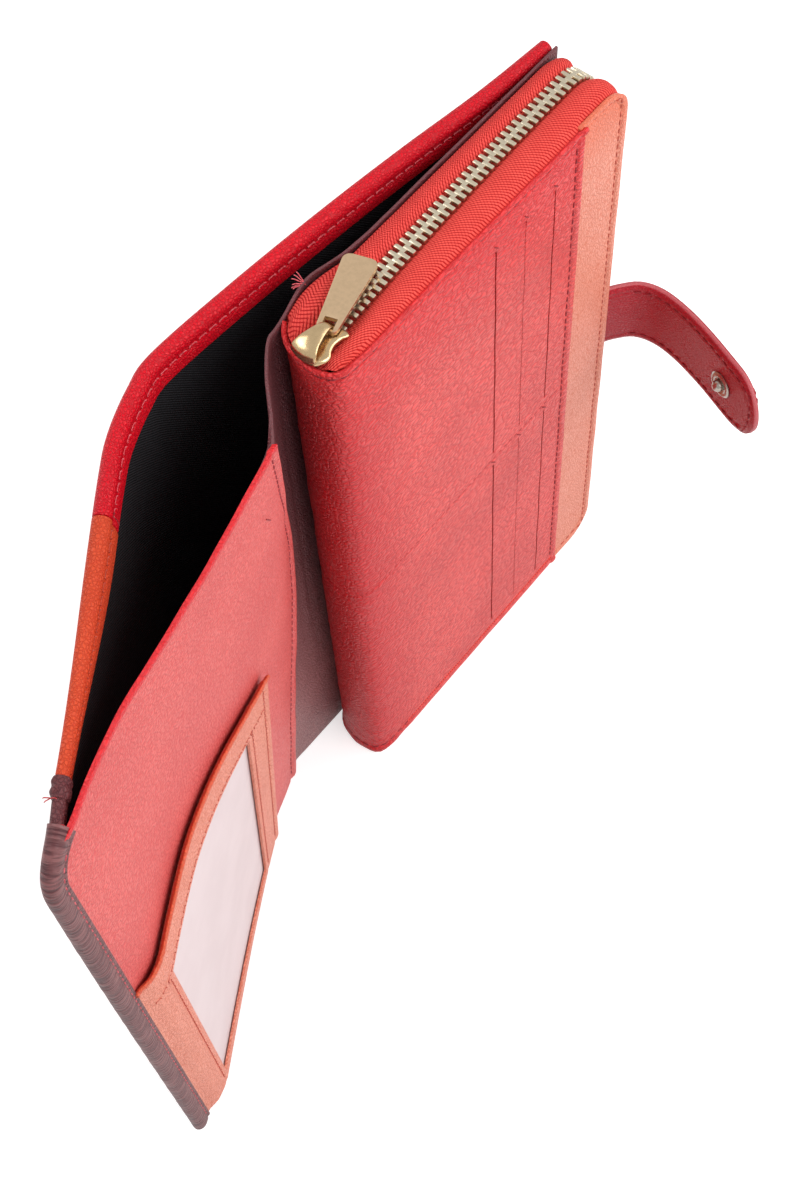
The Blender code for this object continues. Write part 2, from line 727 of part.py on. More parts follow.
def tape_edges(outside, inside, chain_side):
    """Places across a tape: tucked in at the case, a hump beside the chain, and flat under the chain."""
    room = chain_side - outside
    crown = min(TAPE_CROWN, abs(room) / 2)
    return (
        (outside, -TAPE_TUCK),
        (outside + room * 0.15, crown * 0.5),
        (outside + room * 0.45, crown),
        (outside + room * 0.8, crown * 0.4),
        (chain_side, -TAPE_VALLEY),
        (inside, -TAPE_VALLEY),
    )


def front_tape_edges(middle):
    return tape_edges(LEATHER + ORANGE_SETBACK + GAP, middle - ROW_GAP / 2, middle - VALLEY_HALF)


def rear_tape_edges(middle):
    edges = tape_edges(CASE_DEPTH - CLOTH - 2 * GAP, middle + ROW_GAP / 2, middle + VALLEY_HALF)
    return tuple(reversed(edges))


def add_chain(name, line, side, material, group):
    """One row of zip teeth: a bead along the tape with tooth blocks towards the middle."""
    mesh = bmesh.new()
    outer, inner, tip = CHAIN_HALF, CHAIN_HALF - CHAIN_BEAD, ROW_GAP / 2
    used = [s for s in line if not (s[1].y > 0.5 and s[0].x < CHAIN_START)]
    rings = []
    for place, way, _, middle in used:
        ring = []
        for across, lift in ((outer, 0.0), (inner, 0.0), (inner, CHAIN_HEIGHT), (outer, CHAIN_HEIGHT)):
            rise = CHAIN_LIFT + lift
            y = middle + side * across
            ring.append(mesh.verts.new((place.x + rise * way.x, y, place.y + rise * way.y)))
        rings.append(ring)
    teeth = []
    for k, (a, b) in enumerate(zip(rings, rings[1:])):
        for i in range(4):
            face = mesh.faces.new((a[i], a[(i + 1) % 4], b[(i + 1) % 4], b[i]))
            if i == 1 and k % 2 == 0:
                teeth.append(face)
    mesh.faces.new(list(reversed(rings[0])))
    mesh.faces.new(rings[-1])
    made = bmesh.ops.extrude_discrete_faces(mesh, faces=teeth)
    for face in made["faces"]:
        bmesh.ops.translate(mesh, vec=(0.0, side * (tip - inner), 0.0), verts=face.verts)
    bmesh.ops.recalc_face_normals(mesh, faces=mesh.faces)
    data = bpy.data.meshes.new(name)
    mesh.to_mesh(data)
    mesh.free()
    return link(bpy.data.objects.new(name, data), group, material)


def add_zip(parts, cutters):
    line = zip_line()
    front = add_tape("zip_tape_front", line, front_tape_edges, zip_cloth("zip_tape_front"), parts)
    add_tape("zip_tape_rear", line, rear_tape_edges, zip_cloth("zip_tape_rear"), parts)
    add_chain("zip_chain_front", line, -1, gold_metal("zip_chain_front"), parts)
    add_chain("zip_chain_rear", line, 1, gold_metal("zip_chain_rear"), parts)
    notch = box(
        "strap_notch_cutter",
        (CASE_WIDTH - STRAP_ANCHOR, 0.0, STRAP_MIDDLE - STRAP_WIDTH / 2 - GAP),
        (CASE_WIDTH + STRAP_ANCHOR, STRAP_Y + STRAP_THICK / 2 + GAP, STRAP_MIDDLE + STRAP_WIDTH / 2 + GAP),
        cutters,
    )
    cut(front, notch)


# The slider runs on the chain's top run, and its puller swings in its bail


def slider_frame():
    """The slider's own frame: its X runs along the chain, its origin is the middle of its left end."""
    y = CHAIN_MIDDLE - CHAIN_START_SETBACK * (1 - SLIDER_PARK / CASE_WIDTH)
    z = HEIGHT + CHAIN_LIFT + CHAIN_HEIGHT + GAP
    return Matrix.Translation((SLIDER_PARK, y, z)) @ Matrix.Rotation(CHAIN_SLOPE, 4, "Z")


def puller_frame():
    """The puller's own frame: its origin is the bar that turns in the bail, its X runs to its far end."""
    bar = Vector((BAIL_SETBACK + BAIL_LENGTH - BAIL_THICK - PULLER_BAR, 0.0, SLIDER_PLATE + BAIL_OPENING / 2))
    place = slider_frame() @ bar
    turn = Matrix.Rotation(PULLER_TURN, 4, "Z") @ Matrix.Rotation(-PULLER_TILT, 4, "Y")
    return Matrix.Translation(place) @ turn


def add_slider(parts, cutters):
    frame = slider_frame()
    wide, neck = SLIDER_WIDTH / 2, SLIDER_NECK / 2
    outline = rounded_outline(
        (
            (0.0, -wide * 0.8, SLIDER_CORNER),
            (SLIDER_LENGTH * 0.35, -wide, SLIDER_CORNER),
            (SLIDER_LENGTH, -neck, SLIDER_CORNER),
            (SLIDER_LENGTH, neck, SLIDER_CORNER),
            (SLIDER_LENGTH * 0.35, wide, SLIDER_CORNER),
            (0.0, wide * 0.8, SLIDER_CORNER),
        )
    )
    lift = Matrix.Translation((0.0, 0.0, SLIDER_PLATE / 2))
    material = gold_metal("slider_body")
    body = plate("slider_body", outline, SLIDER_PLATE, material, parts, frame @ lift)
    for side in (-1, 1):
        inner = CHAIN_HALF + GAP
        low = (SLIDER_LENGTH * 0.25, side * inner - (FLANGE if side < 0 else 0.0), -FLANGE_DEPTH)
        high = (SLIDER_LENGTH * 0.9, side * inner + (FLANGE if side > 0 else 0.0), SLIDER_PLATE / 2)
        flange = box(f"slider_flange_{'front' if side < 0 else 'rear'}", low, high, cutters)
        flange.matrix_world = frame
        cut(body, flange, "UNION")
    top = SLIDER_PLATE + BAIL_OPENING + BAIL_THICK
    left, right = BAIL_SETBACK, BAIL_SETBACK + BAIL_LENGTH
    arch = rounded_outline(
        (
            (left, SLIDER_PLATE / 2, 0.0), (left, top, BAIL_THICK * 1.2), (right, top, BAIL_THICK * 1.2),
            (right, SLIDER_PLATE / 2, 0.0), (right - BAIL_THICK, SLIDER_PLATE / 2, 0.0),
            (right - BAIL_THICK, SLIDER_PLATE + BAIL_OPENING, 0.0),
            (left + BAIL_THICK, SLIDER_PLATE + BAIL_OPENING, 0.0), (left + BAIL_THICK, SLIDER_PLATE / 2, 0.0),
        )
    )
    bail = plate("slider_bail", arch, BAIL_WIDTH, material, cutters, frame @ standing(0.0))
    cut(body, bail, "UNION")
    return body


def add_puller(parts, cutters):
    frame = puller_frame()
    near, far = -PULLER_BAR / 2, PULLER_LENGTH - PULLER_BAR / 2
    outline = rounded_outline(
        (
            (near, -PULLER_NARROW / 2, PULLER_BAR), (far, -PULLER_WIDE / 2, PULLER_CORNER),
            (far, PULLER_WIDE / 2, PULLER_CORNER), (near, PULLER_NARROW / 2, PULLER_BAR),
        )
    )
    body = plate("puller", outline, PULLER_THICK, gold_metal("puller"), parts, frame)
    slot = box(
        "puller_slot_cutter",
        (PULLER_BAR / 2, -PULLER_SLOT / 2, -PULLER_THICK),
        (PULLER_BAR / 2 + PULLER_SLOT_LENGTH, PULLER_SLOT / 2, PULLER_THICK),
        cutters,
    )
    slot.matrix_world = frame
    cut(body, slot)
    return body


# The strap is two skins of leather, sewn under the orange strip, with a press stud near its tip


def strap_path():
    """The strap's centre line in plan, from its anchor out past the compartment's edge."""
    start = Vector((CASE_WIDTH - STRAP_ANCHOR, STRAP_Y))
    exit_place = Vector((CASE_WIDTH + GAP, STRAP_Y))
    curl = [exit_place + STRAP_REACH * Vector((a, b)) for a, b in STRAP_SHARES]
    return Path([start, (start + exit_place) / 2, *curl])


def strap_half_width(path, distance):
    left = path.total - distance
    half = STRAP_WIDTH / 2
    if left >= half:
        return half
    return math.sqrt(max(half**2 - (half - left) ** 2, 0.0))


def strap_band(name, start, end, count, offset, thickness, material, group, tip=False):
    """A length of one strap skin; the offset places its inner face, left of the centre line."""
    path = strap_path()
    places = spaced(start, end, count)
    if tip:
        half = STRAP_WIDTH / 2
        places = spaced(start, path.total - half, count)
        places += [path.total - half * share for share in (0.7, 0.42, 0.2, 0.07, 0.015)]
    rows = []
    for share in (-1.0, -0.5, 0.5, 1.0):
        row = []
        for distance in places:
            plan = path.place(distance, offset)
            row.append(Vector((plan.x, plan.y, STRAP_MIDDLE + share * strap_half_width(path, distance))))
        rows.append(row)
    return skin(name, rows, thickness, material, group)


def strap_marks():
    """Distances along the strap: the end of its anchor, its two bends and where its stiff parts start."""
    first = STRAP_ANCHOR + GAP
    second = first + STRAP_BEND + STRAP_ROOT
    return first, second


def add_strap(parts):
    path = strap_path()
    first, second = strap_marks()
    thick = STRAP_THICK / 2
    bend = STRAP_BEND
    strap_band(
        "strap_anchor", 0.0, first - GAP, 2, -thick, STRAP_THICK, red_leather("strap_anchor"), parts
    )
    strap_band("strap_root_bend", first, first + bend, 2, -thick, STRAP_THICK, red_leather("strap_root_bend"), parts)
    strap_band(
        "strap_middle_bend", second, second + bend, 2, -thick, STRAP_THICK, red_leather("strap_middle_bend"), parts
    )
    for label, offset in (("outer", GAP / 2), ("inner", -thick)):
        name = f"strap_root_{label}"
        strap_band(name, first + bend + GAP, second - GAP, 3, offset, STRAP_SKIN, red_leather(name), parts)
        name = f"strap_tip_{label}"
        strap_band(name, second + bend + GAP, path.total, 8, offset, STRAP_SKIN, red_leather(name), parts, tip=True)


def turned_piece(name, profile, material, group, place):
    """A turned piece: its profile of radii and heights, spun round its own Z."""
    data = bpy.data.meshes.new(name)
    mesh = bmesh.new()
    verts = [mesh.verts.new((radius, 0.0, height)) for radius, height in profile]
    for a, b in zip(verts, verts[1:]):
        mesh.edges.new((a, b))
    mesh.to_mesh(data)
    mesh.free()
    thing = link(bpy.data.objects.new(name, data), group, material)
    spin = thing.modifiers.new("spin", "SCREW")
    spin.axis = "Z"
    spin.steps = FACES_OF_A_ROUND
    spin.render_steps = FACES_OF_A_ROUND
    spin.use_merge_vertices = True
    spin.merge_threshold = GAP / 10
    thing.matrix_world = place
    return thing


def facing(place, way):
    """A frame at a place whose Z looks the given way."""
    return Matrix.Translation(place) @ way.to_track_quat("Z", "Y").to_matrix().to_4x4()


def strap_side(distance, side):
    """Place and direction on the strap's inner or outer face; the inner face is on its right."""
    path = strap_path()
    plan = path.place(distance, side * (STRAP_THICK / 2 + GAP))
    middle = path.place(distance)
    way = Vector((plan.x - middle.x, plan.y - middle.y, 0.0)).normalized()
    return facing(Vector((plan.x, plan.y, STRAP_MIDDLE)), way)


def add_press_stud(parts):
    distance = strap_path().total - SNAP_FROM_TIP
    stud = (
        (0.0, STUD_STAND), (STUD_BALL * 0.7, STUD_STAND - STUD_BALL * 0.25), (STUD_BALL, STUD_STAND - STUD_BALL * 0.7),
        (STUD_POST, STUD_STAND - STUD_BALL * 1.1), (STUD_POST, STUD_RIM), (STUD_RADIUS * 0.8, STUD_RIM),
        (STUD_RADIUS, STUD_RIM / 2), (STUD_RADIUS, 0.0), (0.0, 0.0),
    )
    turned_piece("snap_stud", stud, nickel_metal("snap_stud"), parts, strap_side(distance, -1))
    cap = (
        (0.0, CAP_DOME), (CAP_RADIUS * 0.5, CAP_DOME * 0.9), (CAP_RADIUS * 0.85, CAP_DOME * 0.55),
        (CAP_RADIUS, CAP_DOME * 0.15), (CAP_RADIUS, 0.0), (0.0, 0.0),
    )
    turned_piece("snap_cap", cap, nickel_metal("snap_cap"), parts, strap_side(distance, 1))
    outer_foot, outer_head = foot_path(-SKIN_STACK), head_outer_path()
    spot = [
        between(outer_foot, outer_head, SOCKET_FROM_EDGE, SOCKET_FROM_EDGE, STRAP_MIDDLE, inset)
        for inset in (0.0, -GAP)
    ]
    way = (spot[1] - spot[0]).normalized()
    socket = (
        (SOCKET_HOLE, SOCKET_HEIGHT), (SOCKET_RADIUS * 0.8, SOCKET_HEIGHT), (SOCKET_RADIUS, SOCKET_HEIGHT * 0.5),
        (SOCKET_RADIUS, 0.0), (0.0, 0.0), (0.0, SOCKET_HEIGHT * 0.25), (SOCKET_HOLE, SOCKET_HEIGHT * 0.25),
    )
    material = nickel_metal("snap_socket")
    turned_piece("snap_socket", (*socket, socket[0]), material, parts, facing(spot[1], way))


# Joints and the shared frame


def fold_axis():
    """Plan point of the cover's fold: it swings the foot of the fold to its closed place before the leaf."""
    start = cover_place(0.0, 0.0)
    leaf_clearance = GAP + WINDOW_THICK + GAP + FRAME_THICK + 3 * GAP
    closed = Vector((CASE_WIDTH - 2 * EDGE_MARGIN - COVER_REACH, -leaf_clearance))
    middle, chord = (start + closed) / 2, start - closed
    reach = chord.length / 2 / math.tan(CLOSING_TURN / 2)
    across = Vector((chord.y, -chord.x)).normalized()
    return middle + reach * across


def joint_places():
    """Each moving body's nodes, a point on its joint's axis, and the axis."""
    path = strap_path()
    first, second = strap_marks()
    fold = fold_axis()
    root_bend = path.place(first + STRAP_BEND / 2)
    middle_bend = path.place(second + STRAP_BEND / 2)
    along = heading_vector(CHAIN_SLOPE)
    swing = puller_frame().to_3x3() @ Vector((0.0, -1.0, 0.0))
    return {
        "front_cover": (
            ("cover_orange_leather", "cover_aubergine_leather", "cover_board", "cover_lining", "free_edge_binding",
             "pocket_panel", "id_pocket_frame", "id_window", "snap_socket"),
            Vector((fold.x, fold.y, 0.0)), Vector((0.0, 0.0, 1.0)),
        ),
        "case_leaf": (
            ("leaf_red_panel", "leaf_orange_strip", "card_pocket_lower", "card_pocket_upper",
             "compartment_lining_front", "zip_tape_front", "zip_chain_front", "strap_anchor", "strap_root_bend"),
            Vector((LEAF_HINGE, 0.0, 0.0)), Vector((0.0, 0.0, 1.0)),
        ),
        "slider": (("slider_body",), slider_frame().translation, Vector((along.x, along.y, 0.0))),
        "puller": (("puller",), puller_frame().translation, swing),
        "strap_root": (
            ("strap_root_outer", "strap_root_inner", "strap_middle_bend"),
            Vector((root_bend.x, root_bend.y, STRAP_MIDDLE)), Vector((0.0, 0.0, -1.0)),
        ),
        "strap_tip": (
            ("strap_tip_outer", "strap_tip_inner", "snap_stud", "snap_cap"),
            Vector((middle_bend.x, middle_bend.y, STRAP_MIDDLE)), Vector((0.0, 0.0, -1.0)),
        ),
    }


def carry_on_joints(group):
    """Puts an empty on each joint's axis and hangs the moving body's nodes on it, without moving them."""
    empties = {}
    for body, (nodes, place, _) in joint_places().items():
        empty = bpy.data.objects.new(f"{body}_axis", None)
        empty.location = place
        empty.empty_display_size = CASE_DEPTH
        group.objects.link(empty)
        empties[body] = empty
    bpy.context.view_layer.update()
    for child, parent in (("puller", "slider"), ("strap_tip", "strap_root"), ("strap_root", "case_leaf")):
        hang(empties[child], empties[parent])
    for body, (nodes, _, _) in joint_places().items():
        for name in nodes:
            hang(bpy.data.objects[name], empties[body])
    return empties


def hang(thing, parent):
    bpy.context.view_layer.update()
    world = thing.matrix_world.copy()
    thing.parent = parent
    thing.matrix_parent_inverse = parent.matrix_world.inverted()
    thing.matrix_world = world


def shade(parts):
    for thing in parts.objects:
        if thing.type == "MESH":
            thing.data.shade_smooth()
            thing.data.set_sharp_from_angle(angle=math.radians(40))


def stand_on_origin(parts, cutters):
    """Moves the whole wallet so that the middle of its box's bottom is the origin."""
    bpy.context.view_layer.update()
    graph = bpy.context.evaluated_depsgraph_get()
    corners = []
    for thing in parts.objects:
        if thing.type == "MESH":
            ready = thing.evaluated_get(graph)
            corners += [ready.matrix_world @ vertex.co for vertex in ready.data.vertices]
    low = Vector([min(c[k] for c in corners) for k in range(3)])
    high = Vector([max(c[k] for c in corners) for k in range(3)])
    shift = Vector((-(low.x + high.x) / 2, -(low.y + high.y) / 2, -low.z))
    for group in (parts, cutters):
        for thing in group.objects:
            if not thing.parent:
                thing.location += shift
    bpy.context.view_layer.update()
    return shift, low + shift, high + shift


def main():
    clear_scene()
    parts = new_collection("travel_wallet")
    cutters = new_collection("cutters")
    add_back_cover(parts)
    add_spine(parts)
    add_front_cover(parts)
    add_free_edge_binding(parts)
    add_pocket_panel(parts)
    add_identity_pocket(parts)
    add_front_leaf(parts, cutters)
    add_case_rear(parts)
    add_zip(parts, cutters)
    add_slider(parts, cutters)
    add_puller(parts, cutters)
    add_strap(parts)
    add_press_stud(parts)
    shade(parts)
    carry_on_joints(parts)
    shift, low, high = stand_on_origin(parts, cutters)
    print("box", [round(v, 5) for v in low], [round(v, 5) for v in high])
    for body, (_, place, way) in joint_places().items():
        print(body, [round(v, 5) for v in place + shift], [round(v, 5) for v in way])
    return shift


if __name__ == "__main__":
    main()
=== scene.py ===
# %% [markdown]
# # A leather travel wallet, dressed
# A long wallet stands open on its short side. A zip compartment stands at the right. A cover starts behind
# it, bends round the spine and ends in a free edge at the lower left, and between the cover's two skins lies
# a pocket for notes that gapes at the top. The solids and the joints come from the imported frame. This file
# makes the skins, the seams, the zip and the fittings as a workshop would, and gives each one its finish.

# %% Load the frame and keep the size of its solids
import math

import bpy
import numpy as np
from mathutils import Matrix, Vector


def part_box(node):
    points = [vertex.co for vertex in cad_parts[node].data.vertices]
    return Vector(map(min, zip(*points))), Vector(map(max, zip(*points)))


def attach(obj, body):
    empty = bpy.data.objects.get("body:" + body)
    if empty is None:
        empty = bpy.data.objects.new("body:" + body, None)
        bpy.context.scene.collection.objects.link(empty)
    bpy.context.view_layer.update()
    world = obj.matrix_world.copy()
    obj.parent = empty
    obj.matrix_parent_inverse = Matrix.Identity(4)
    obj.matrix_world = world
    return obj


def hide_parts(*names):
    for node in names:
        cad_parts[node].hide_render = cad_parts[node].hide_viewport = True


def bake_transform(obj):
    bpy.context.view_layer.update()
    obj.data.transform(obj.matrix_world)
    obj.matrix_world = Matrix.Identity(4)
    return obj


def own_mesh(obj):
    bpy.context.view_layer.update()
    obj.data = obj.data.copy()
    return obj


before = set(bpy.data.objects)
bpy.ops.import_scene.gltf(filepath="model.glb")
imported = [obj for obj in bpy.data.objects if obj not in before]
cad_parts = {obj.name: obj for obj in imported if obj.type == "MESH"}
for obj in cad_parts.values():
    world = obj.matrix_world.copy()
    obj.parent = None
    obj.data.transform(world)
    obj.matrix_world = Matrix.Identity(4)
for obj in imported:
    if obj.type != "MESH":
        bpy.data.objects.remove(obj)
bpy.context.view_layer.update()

bpy.context.scene.view_settings.view_transform = "Standard"
bpy.ops.object.select_all(action="DESELECT")

# %% [markdown]
# All sizes are metres. The pieces are drawn in the wallet's own places: X runs from the compartment's spine
# to its open edge, Y from its front to its back, and Z up from the ground. The frame has the whole wallet
# moved a little to stand on its middle, so one corner of one solid tells where the drawing's origin lies.

# %% Sizes of the wallet
HEIGHT = 0.190
CASE_WIDTH = 0.102
CASE_DEPTH = 0.0185
COVER_REACH = 0.104
FOLD_REACH = 0.0161
COVER_HEADING = 2 * math.pi - math.radians(152)
MOUTH = 0.030
BACK_FLARE = 0.0117
FOOT_BOW = 0.0028
LEATHER = 0.0010
LINER = 0.0007
CLOTH = 0.0003
BOARD = 0.0005
GAP = 0.0003
EDGE_MARGIN = 0.0020
SPINE_LIP = 0.0040
LEAF_HINGE = 0.0030
INNER_Y = CASE_DEPTH - LEATHER - GAP
SKIN_STACK = LEATHER + LINER + CLOTH + BOARD + LEATHER + 4 * GAP
CLOTH_INSET = LEATHER + GAP + BOARD + GAP
TURN_INSET = CLOTH_INSET + CLOTH + 2 * GAP + LEATHER
TURN_STACK = TURN_INSET + GAP + LEATHER
TURN_Y = CASE_DEPTH + LINER + GAP + TURN_INSET
BACK_LENGTH = CASE_WIDTH - EDGE_MARGIN - SPINE_LIP
MM = 0.001
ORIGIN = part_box("leaf_red_panel")[0] - Vector((LEAF_HINGE + GAP, 0.0, 0.0))
print("drawing origin in the frame", tuple(round(v, 5) for v in ORIGIN))

# %% [markdown]
# The camera looks down at the wallet steeply, turned to its right. Its place was worked out from the
# wallet's corners, so the drawing and the picture agree.

# %% Camera
CAMERA_PLACE = Vector((-0.15128, -0.15439, 0.49564))
CAMERA_TURN, CAMERA_TILT, CAMERA_ROLL = 0.82056, 1.07554, -0.07846
CAMERA_LENS = 55.5


def set_camera():
    look = Vector((
        math.sin(CAMERA_TURN) * math.cos(CAMERA_TILT), math.cos(CAMERA_TURN) * math.cos(CAMERA_TILT),
        -math.sin(CAMERA_TILT),
    ))
    right = look.cross(Vector((0, 0, 1))).normalized()
    up = right.cross(look)
    c, s = math.cos(CAMERA_ROLL), math.sin(CAMERA_ROLL)
    axes = (c * right + s * up, -s * right + c * up, -look)
    camera = bpy.data.objects.new("camera", bpy.data.cameras.new("camera"))
    bpy.context.scene.collection.objects.link(camera)
    camera.matrix_world = Matrix.Translation(CAMERA_PLACE + ORIGIN) @ Matrix(axes).transposed().to_4x4()
    camera.data.lens = CAMERA_LENS
    camera.data.sensor_width = 36
    camera.data.clip_start = 0.01
    bpy.context.scene.camera = camera


set_camera()
print("camera lens", CAMERA_LENS)

# %% [markdown]
# A studio table is white paper under large soft lamps. The floor is plain diffuse paper that also glows a
# little for the camera alone, so that it reaches white while the wallet's soft shadow stays on it.

# %% Floor, lamps and background
PAPER_GREY = 0.62
PAPER_GLOW = 0.62
AMBIENT = 0.48


def tone(red, green, blue):
    """A colour given as it looks on screen, made linear for the shader."""
    shares = (v / 255 for v in (red, green, blue))
    return tuple(v / 12.92 if v <= 0.04045 else ((v + 0.055) / 1.055) ** 2.4 for v in shares)


def new_material(name):
    material = bpy.data.materials.new(name)
    material.use_nodes = True
    return material


class Nodes:
    """The nodes of one shader, with small helpers to place and join them."""

    def __init__(self, tree):
        self.tree = tree

    def put(self, value, socket):
        """Joins another node's socket to this one, or sets its number, colour or vector."""
        if isinstance(value, bpy.types.NodeSocket):
            self.tree.links.new(value, socket)
        elif isinstance(value, tuple):
            socket.default_value = (*value, 1.0)[:len(socket.default_value)]
        elif value is not None:
            socket.default_value = value

    def fill(self, made, inputs):
        for label, value in inputs.items():
            self.put(value, made.inputs[label])
        return made

    def node(self, kind, inputs=None, **settings):
        made = self.tree.nodes.new(f"ShaderNode{kind}")
        for name, value in settings.items():
            setattr(made, name, value)
        return self.fill(made, inputs or {})

    def math(self, operation, first, second=None):
        return self.node("Math", {0: first, 1: second}, operation=operation).outputs[0]

    def noise(self, place, scale, detail=2.0, roughness=0.5, distortion=0.0):
        values = {"Scale": scale, "Detail": detail, "Roughness": roughness, "Distortion": distortion}
        return self.node("TexNoise", {"Vector": place, **values})

    def range(self, value, low, high, to_low=0.0, to_high=1.0, kind="SMOOTHSTEP"):
        span = {"Value": value, "From Min": low, "From Max": high, "To Min": to_low, "To Max": to_high}
        return self.node("MapRange", span, interpolation_type=kind).outputs["Result"]


def show_behind(shader, seen, unseen, end, under=None):
    """Ends a shader with one look for rays that show the background, and another for all other rays."""
    path = shader.node("LightPath").outputs
    either = shader.math("MAXIMUM", path["Is Camera Ray"], path["Is Glossy Ray"])
    shown = shader.math("MAXIMUM", either, path["Is Transmission Ray"])
    look = shader.node("MixShader", {0: shown, 1: unseen.outputs[0], 2: seen.outputs[0]})
    if under:
        look = shader.node("AddShader", {0: under.outputs[0], 1: look.outputs[0]})
    shader.fill(shader.tree.nodes[end], {"Surface": look.outputs[0]})


def make_floor():
    bpy.ops.mesh.primitive_plane_add(size=6.0)
    floor = bpy.context.object
    floor.name = "floor"
    material = new_material("white_paper")
    shader = Nodes(material.node_tree)
    paper = shader.fill(shader.tree.nodes["Principled BSDF"], {
        "Base Color": (PAPER_GREY, PAPER_GREY, PAPER_GREY), "Roughness": 1.0, "Specular IOR Level": 0.0,
    })
    glow, dark = (shader.node("Emission", {"Strength": strength}) for strength in (PAPER_GLOW, 0.0))
    show_behind(shader, glow, dark, "Material Output", paper)
    floor.data.materials.append(material)


def add_lamp(name, place, size, power):
    lamp = bpy.data.lights.new(name, "AREA")
    lamp.shape = "RECTANGLE"
    lamp.size, lamp.size_y = size
    lamp.energy = power
    thing = bpy.data.objects.new(name, lamp)
    thing.location = place
    thing.rotation_euler = (Vector((0, 0, 0.1)) - Vector(place)).to_track_quat("-Z", "Y").to_euler()
    bpy.context.scene.collection.objects.link(thing)


def make_world():
    world = bpy.data.worlds.new("studio")
    bpy.context.scene.world = world
    world.use_nodes = True
    shader = Nodes(world.node_tree)
    ambient = shader.fill(shader.tree.nodes["Background"], {"Color": (1, 1, 1), "Strength": AMBIENT})
    white = shader.node("Background", {"Strength": 1.0})
    show_behind(shader, white, ambient, "World Output")


make_floor()
make_world()
add_lamp("lamp_front", (0.12, -0.70, 0.72), (0.7, 0.7), 6.0)
add_lamp("lamp_right", (0.75, -0.45, 0.55), (0.6, 0.8), 3.0)
add_lamp("lamp_back", (-0.30, 0.62, 0.80), (0.9, 0.5), 5.0)
print("lamps", len(bpy.data.lights))

# %% [markdown]
# Every leather and cloth skin here is a flat sheet in the workshop, laid on a curved form. So the wallet's
# two plan lines are drawn first: the line of its foot on the ground, and the line of its gaping head. A skin
# is the ruled surface between them. A point on it is named by its distance from the free edge, its height
# and how far inside the skin stack it lies.

# %% Smooth plan lines, walked by their length
FINE = 24
FOOT_COVER_SHARES = ((0.0, 0.0), (0.10, -0.57), (0.23, -1.0), (0.46, -0.89), (0.68, -0.54), (1.0, 0.1))
HEAD_INNER_SHARES = (
    (-0.133, 0.270), (-0.065, 0.335), (0.0, 0.415), (0.045, 0.465), (0.11, 0.470), (0.208, 0.400),
    (0.333, 0.303), (0.52, 0.140), (0.69, -0.020), (0.87, -0.110), (1.0, -0.095),
)
HEAD_BACK_SHARES = ((0.78, 0.17), (0.55, 0.46), (0.32, 0.70), (0.064, 0.90), (-0.166, 1.0))
HEAD_OUTER_SHARES = (
    (0.015, -0.453), (0.123, -0.487), (0.214, -0.460), (0.407, -0.360), (0.648, -0.223),
    (0.837, -0.133), (1.0, -0.095),
)


def smooth(points):
    """A smooth line through the points, with FINE steps between two of them."""
    points = np.asarray(points, float)
    ends = np.vstack([2 * points[0] - points[1], points, 2 * points[-1] - points[-2]])
    u = (np.arange(FINE) / FINE)[:, None]
    runs = [
        0.5 * (2 * b + u * (c - a) + u**2 * (2 * a - 5 * b + 4 * c - d) + u**3 * (3 * b - a - 3 * c + d))
        for a, b, c, d in zip(ends, ends[1:], ends[2:], ends[3:])
    ]
    return np.vstack([*runs, points[-1:]])


class PlanLine:
    """A smooth line in plan. Its left side is the wallet's inside."""

    def __init__(self, points):
        self.points = smooth(points)
        steps = np.linalg.norm(np.diff(self.points, axis=0), axis=1)
        self.lengths = np.concatenate([[0.0], np.cumsum(steps)])
        self.total = self.lengths[-1]
        headings = np.gradient(self.points, self.lengths, axis=0)
        self.headings = headings / np.linalg.norm(headings, axis=1)[:, None]

    def at(self, distance, inset=0.0):
        """Points at these distances from the start, moved to the left by the inset."""
        distance = np.asarray(distance, float)
        point, way = (
            np.stack([np.interp(distance, self.lengths, values[:, k]) for k in (0, 1)], axis=-1)
            for values in (self.points, self.headings)
        )
        way = way / np.linalg.norm(way, axis=-1, keepdims=True)
        left = np.stack([-way[..., 1], way[..., 0]], axis=-1)
        return point + np.asarray(inset)[..., None] * left

    def from_end(self, distance, inset=0.0):
        return self.at(self.total - np.asarray(distance), inset)


def cover_place(along, inward):
    """A plan point of the front cover: along it from the fold at the foot, and towards the inside."""
    run = np.array([math.cos(COVER_HEADING), math.sin(COVER_HEADING)])
    return np.array([-FOLD_REACH, INNER_Y]) + along * run + inward * np.array([-run[1], run[0]])


def inner_line(shares, depth, *more):
    """The inner skin's line: straight behind the compartment, and then along the cover by these shares."""
    back = [(x, INNER_Y) for x in (CASE_WIDTH - EDGE_MARGIN, CASE_WIDTH / 2, SPINE_LIP, *more)]
    return PlanLine(back + [cover_place(a * COVER_REACH, b * depth) for a, b in shares])


def foot_line(inset):
    inner = inner_line(FOOT_COVER_SHARES, FOOT_BOW, -FOLD_REACH / 2)
    return PlanLine(inner.at(np.linspace(0.0, inner.total, 41), inset))


def head_outer_line():
    back = [(a * CASE_WIDTH, TURN_Y + b * BACK_FLARE) for a, b in HEAD_BACK_SHARES]
    front = [cover_place(a * COVER_REACH, b * MOUTH - TURN_STACK) for a, b in HEAD_OUTER_SHARES]
    return PlanLine([(CASE_WIDTH - EDGE_MARGIN, TURN_Y), *back, *front])


OUTER_FOOT, OUTER_HEAD = foot_line(-SKIN_STACK), head_outer_line()
INNER_FOOT, INNER_HEAD = foot_line(0.0), inner_line(HEAD_INNER_SHARES, MOUTH)
print("cover, foot and head, mm", round(OUTER_FOOT.total / MM, 1), round(OUTER_HEAD.total / MM, 1))

